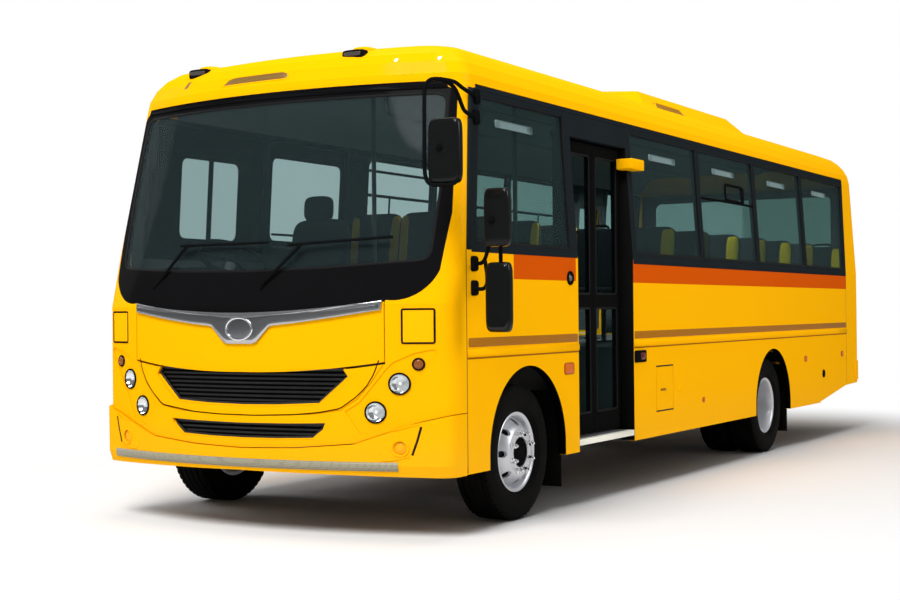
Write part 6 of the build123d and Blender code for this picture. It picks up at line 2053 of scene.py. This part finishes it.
@dataclass
class Studio:
    """Pale floor, white surroundings and soft lamps."""

    floor_half: float = 60.0
    melt_from: float = 4.6
    melt_to: float = 7.5
    lamps: list[Lamp] = field(default_factory=lambda: [Lamp("key", (1.5, -12.5, 11.5), (0.0, -2.0, 1.4), 7.0,
        2000.0), Lamp("kerb_fill", (13.0, 1.0, 7.5), (0.0, 0.5, 1.3), 8.0, 960.0, spares="floor_stage"),
        Lamp("road_fill", (-13.0, -3.0, 7.0), (0.0, 0.0, 1.3), 8.0, 420.0),
        Lamp("top", (0.0, 0.0, 12.0), (0.0, 0.0, 2.0), 10.0, 520.0), Lamp("cabin_front", (0.3, -1.0, 2.4),
        (0.3, -1.0, 0.0), 1.3, 7.0, False), Lamp("cabin_middle", (0.3, 0.9, 2.4), (0.3, 0.9, 0.0), 1.3, 50.0,
        False), Lamp("cabin_rear", (0.1, 2.7, 2.4), (0.1, 2.7, 0.0), 1.3, 66.0, False),])

    def build(self) -> None:
        """Make the floor, the world and the lamps."""
        h = self.floor_half
        corners = np.array([[[-h, -h, 0.0], [h, -h, 0.0]], [[-h, h, 0.0], [h, h, 0.0]]])
        floor = surface("floor_stage", corners, smooth=False, flip=True)
        coat(floor, self.floor_material())
        self.world()
        for lamp in self.lamps:
            lamp.build()

    def floor_material(self) -> Material:
        """Pale floor that melts into the white surroundings far away, yet keeps the shadow."""
        kit = Nodes("floor_pale")
        speck = kit.noise(40.0, 2.0)
        kit.paint(kit.mix(speck, (0.86, 0.86, 0.86), (0.88, 0.88, 0.88)))
        kit.value(Roughness=0.9, Specular_IOR_Level=0.1)
        x, y, _ = kit.split()
        far = kit.math("SQRT", kit.math("ADD", kit.math("POWER", kit.math("MULTIPLY", x, 1.7), 2.0),
            kit.math("POWER", y, 2.0)))
        melt = kit.add("ShaderNodeMapRange", interpolation_type="SMOOTHSTEP", From_Min=self.melt_from,
            From_Max=self.melt_to)
        kit.link(far, melt, "Value")
        path = kit.add("ShaderNodeLightPath")
        seen = kit.math("MAXIMUM", path.outputs["Is Camera Ray"], path.outputs["Is Transmission Ray"])
        white = kit.add("ShaderNodeEmission")
        share = kit.math("MULTIPLY", melt.outputs[0], seen)
        kit.link(kit.blend(share, kit.shader.outputs[0], white.outputs[0]), kit.output, "Surface")
        return kit.material

    def world(self) -> None:
        """White world: plain grey light on the object and in mirrors, white where the camera looks, straight
        or through glass.
        """
        world = bpy.data.worlds.new("studio")
        bpy.context.scene.world = world
        world.use_nodes = True
        tree = world.node_tree
        back = tree.nodes["Background"]
        back.inputs["Color"].default_value = (1, 1, 1, 1)
        path = tree.nodes.new("ShaderNodeLightPath")
        seen = tree.nodes.new("ShaderNodeMath")
        seen.operation = "MAXIMUM"
        tree.links.new(path.outputs["Is Camera Ray"], seen.inputs[0])
        tree.links.new(path.outputs["Is Transmission Ray"], seen.inputs[1])
        strength = tree.nodes.new("ShaderNodeMapRange")
        strength.inputs["To Min"].default_value = 0.26
        strength.inputs["To Max"].default_value = 1.0
        tree.links.new(seen.outputs[0], strength.inputs["Value"])
        tree.links.new(strength.outputs[0], back.inputs["Strength"])


@dataclass
class FrameDress:
    """Finishes for the CAD nodes, in view or replaced."""

    nodes: dict[str, Piece]
    look: Surfaces

    def build(self) -> None:
        """Assign a material to every node by name."""
        s = self.look
        table: dict[Material, tuple[str, ...]] = {
            s.yellow: ("roof", "roof_pod", "nose_panel", "front_bumper", "rear_wall", "rear_bumper",
                       "front_flap", "tool_lid", "marker_fairings"),
            s.striped: ("side_wall_left", "side_wall_right", "emergency_door"),
            s.black_gloss: ("windscreen_surround", "roof_markers"),
            s.band_black: ("window_frame_left", "window_frame_right"),
            s.screen_glass: ("windscreen",),
            s.side_glass: ("side_glass", "rear_glass", "emergency_glass"),
            s.door_glass: ("door_glass_front", "door_glass_rear"),
            s.black_satin: ("grilles", "mirror_heads", "wipers", "steering_wheel"),
            s.door_black: ("door_frame", "door_leaf_front", "door_leaf_rear"),
            s.chassis: ("chassis_frame", "front_axle", "rear_axle", "propeller_shaft", "fuel_tank",
                        "tool_locker", "mirror_arms", "seat_frames"),
            s.cast: ("engine", "knuckle_left", "knuckle_right"),
            s.steel: ("leaf_springs",),
            s.bright: ("trim_bar", "lamps"),
            s.alloy: ("wheel_front_left", "wheel_front_right", "wheel_rear_left", "wheel_rear_right"),
            s.rubber: ("tyre_front_left", "tyre_front_right", "tyres_rear_left", "tyres_rear_right",
                       "mudflaps"),
            s.cloth: ("seats", "driver_seat"),
            s.trim_grey: ("dashboard", "engine_cover", "steering_column"),
            s.floor: ("floor",),
            s.step_metal: ("door_step",),
        }
        for material, names in table.items():
            for name in names:
                if name in self.nodes:
                    coat(self.nodes[name], material)
        missed = set(self.nodes) - {name for names in table.values() for name in names}
        LOG.info("nodes with no finish: %s", sorted(missed))


def main() -> None:
    """Build the bus in order round the frame."""
    logging.basicConfig(level=logging.INFO, format="%(message)s")
    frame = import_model()
    scene = bpy.context.scene
    scene.view_settings.view_transform = "Standard"
    CameraRig().build()
    Studio().build()
    surfaces = Surfaces()
    FrameDress(frame["nodes"], surfaces).build()
    for side in Side:
        RoadWheel(surfaces, side, "front", FRONT_AXLE, 1.04, False).build()
        RoadWheel(surfaces, side, "rear", REAR_AXLE, 1.045, True).build()
    for maker in (Tyres, Mirrors, NoseLamps, NoseTrim, Sides, PassengerDoor, Saloon, RoofDetails, Tail):
        maker(surfaces).build()
        LOG.info("built %s", maker.__name__)


if __name__ == "__main__":
    main()
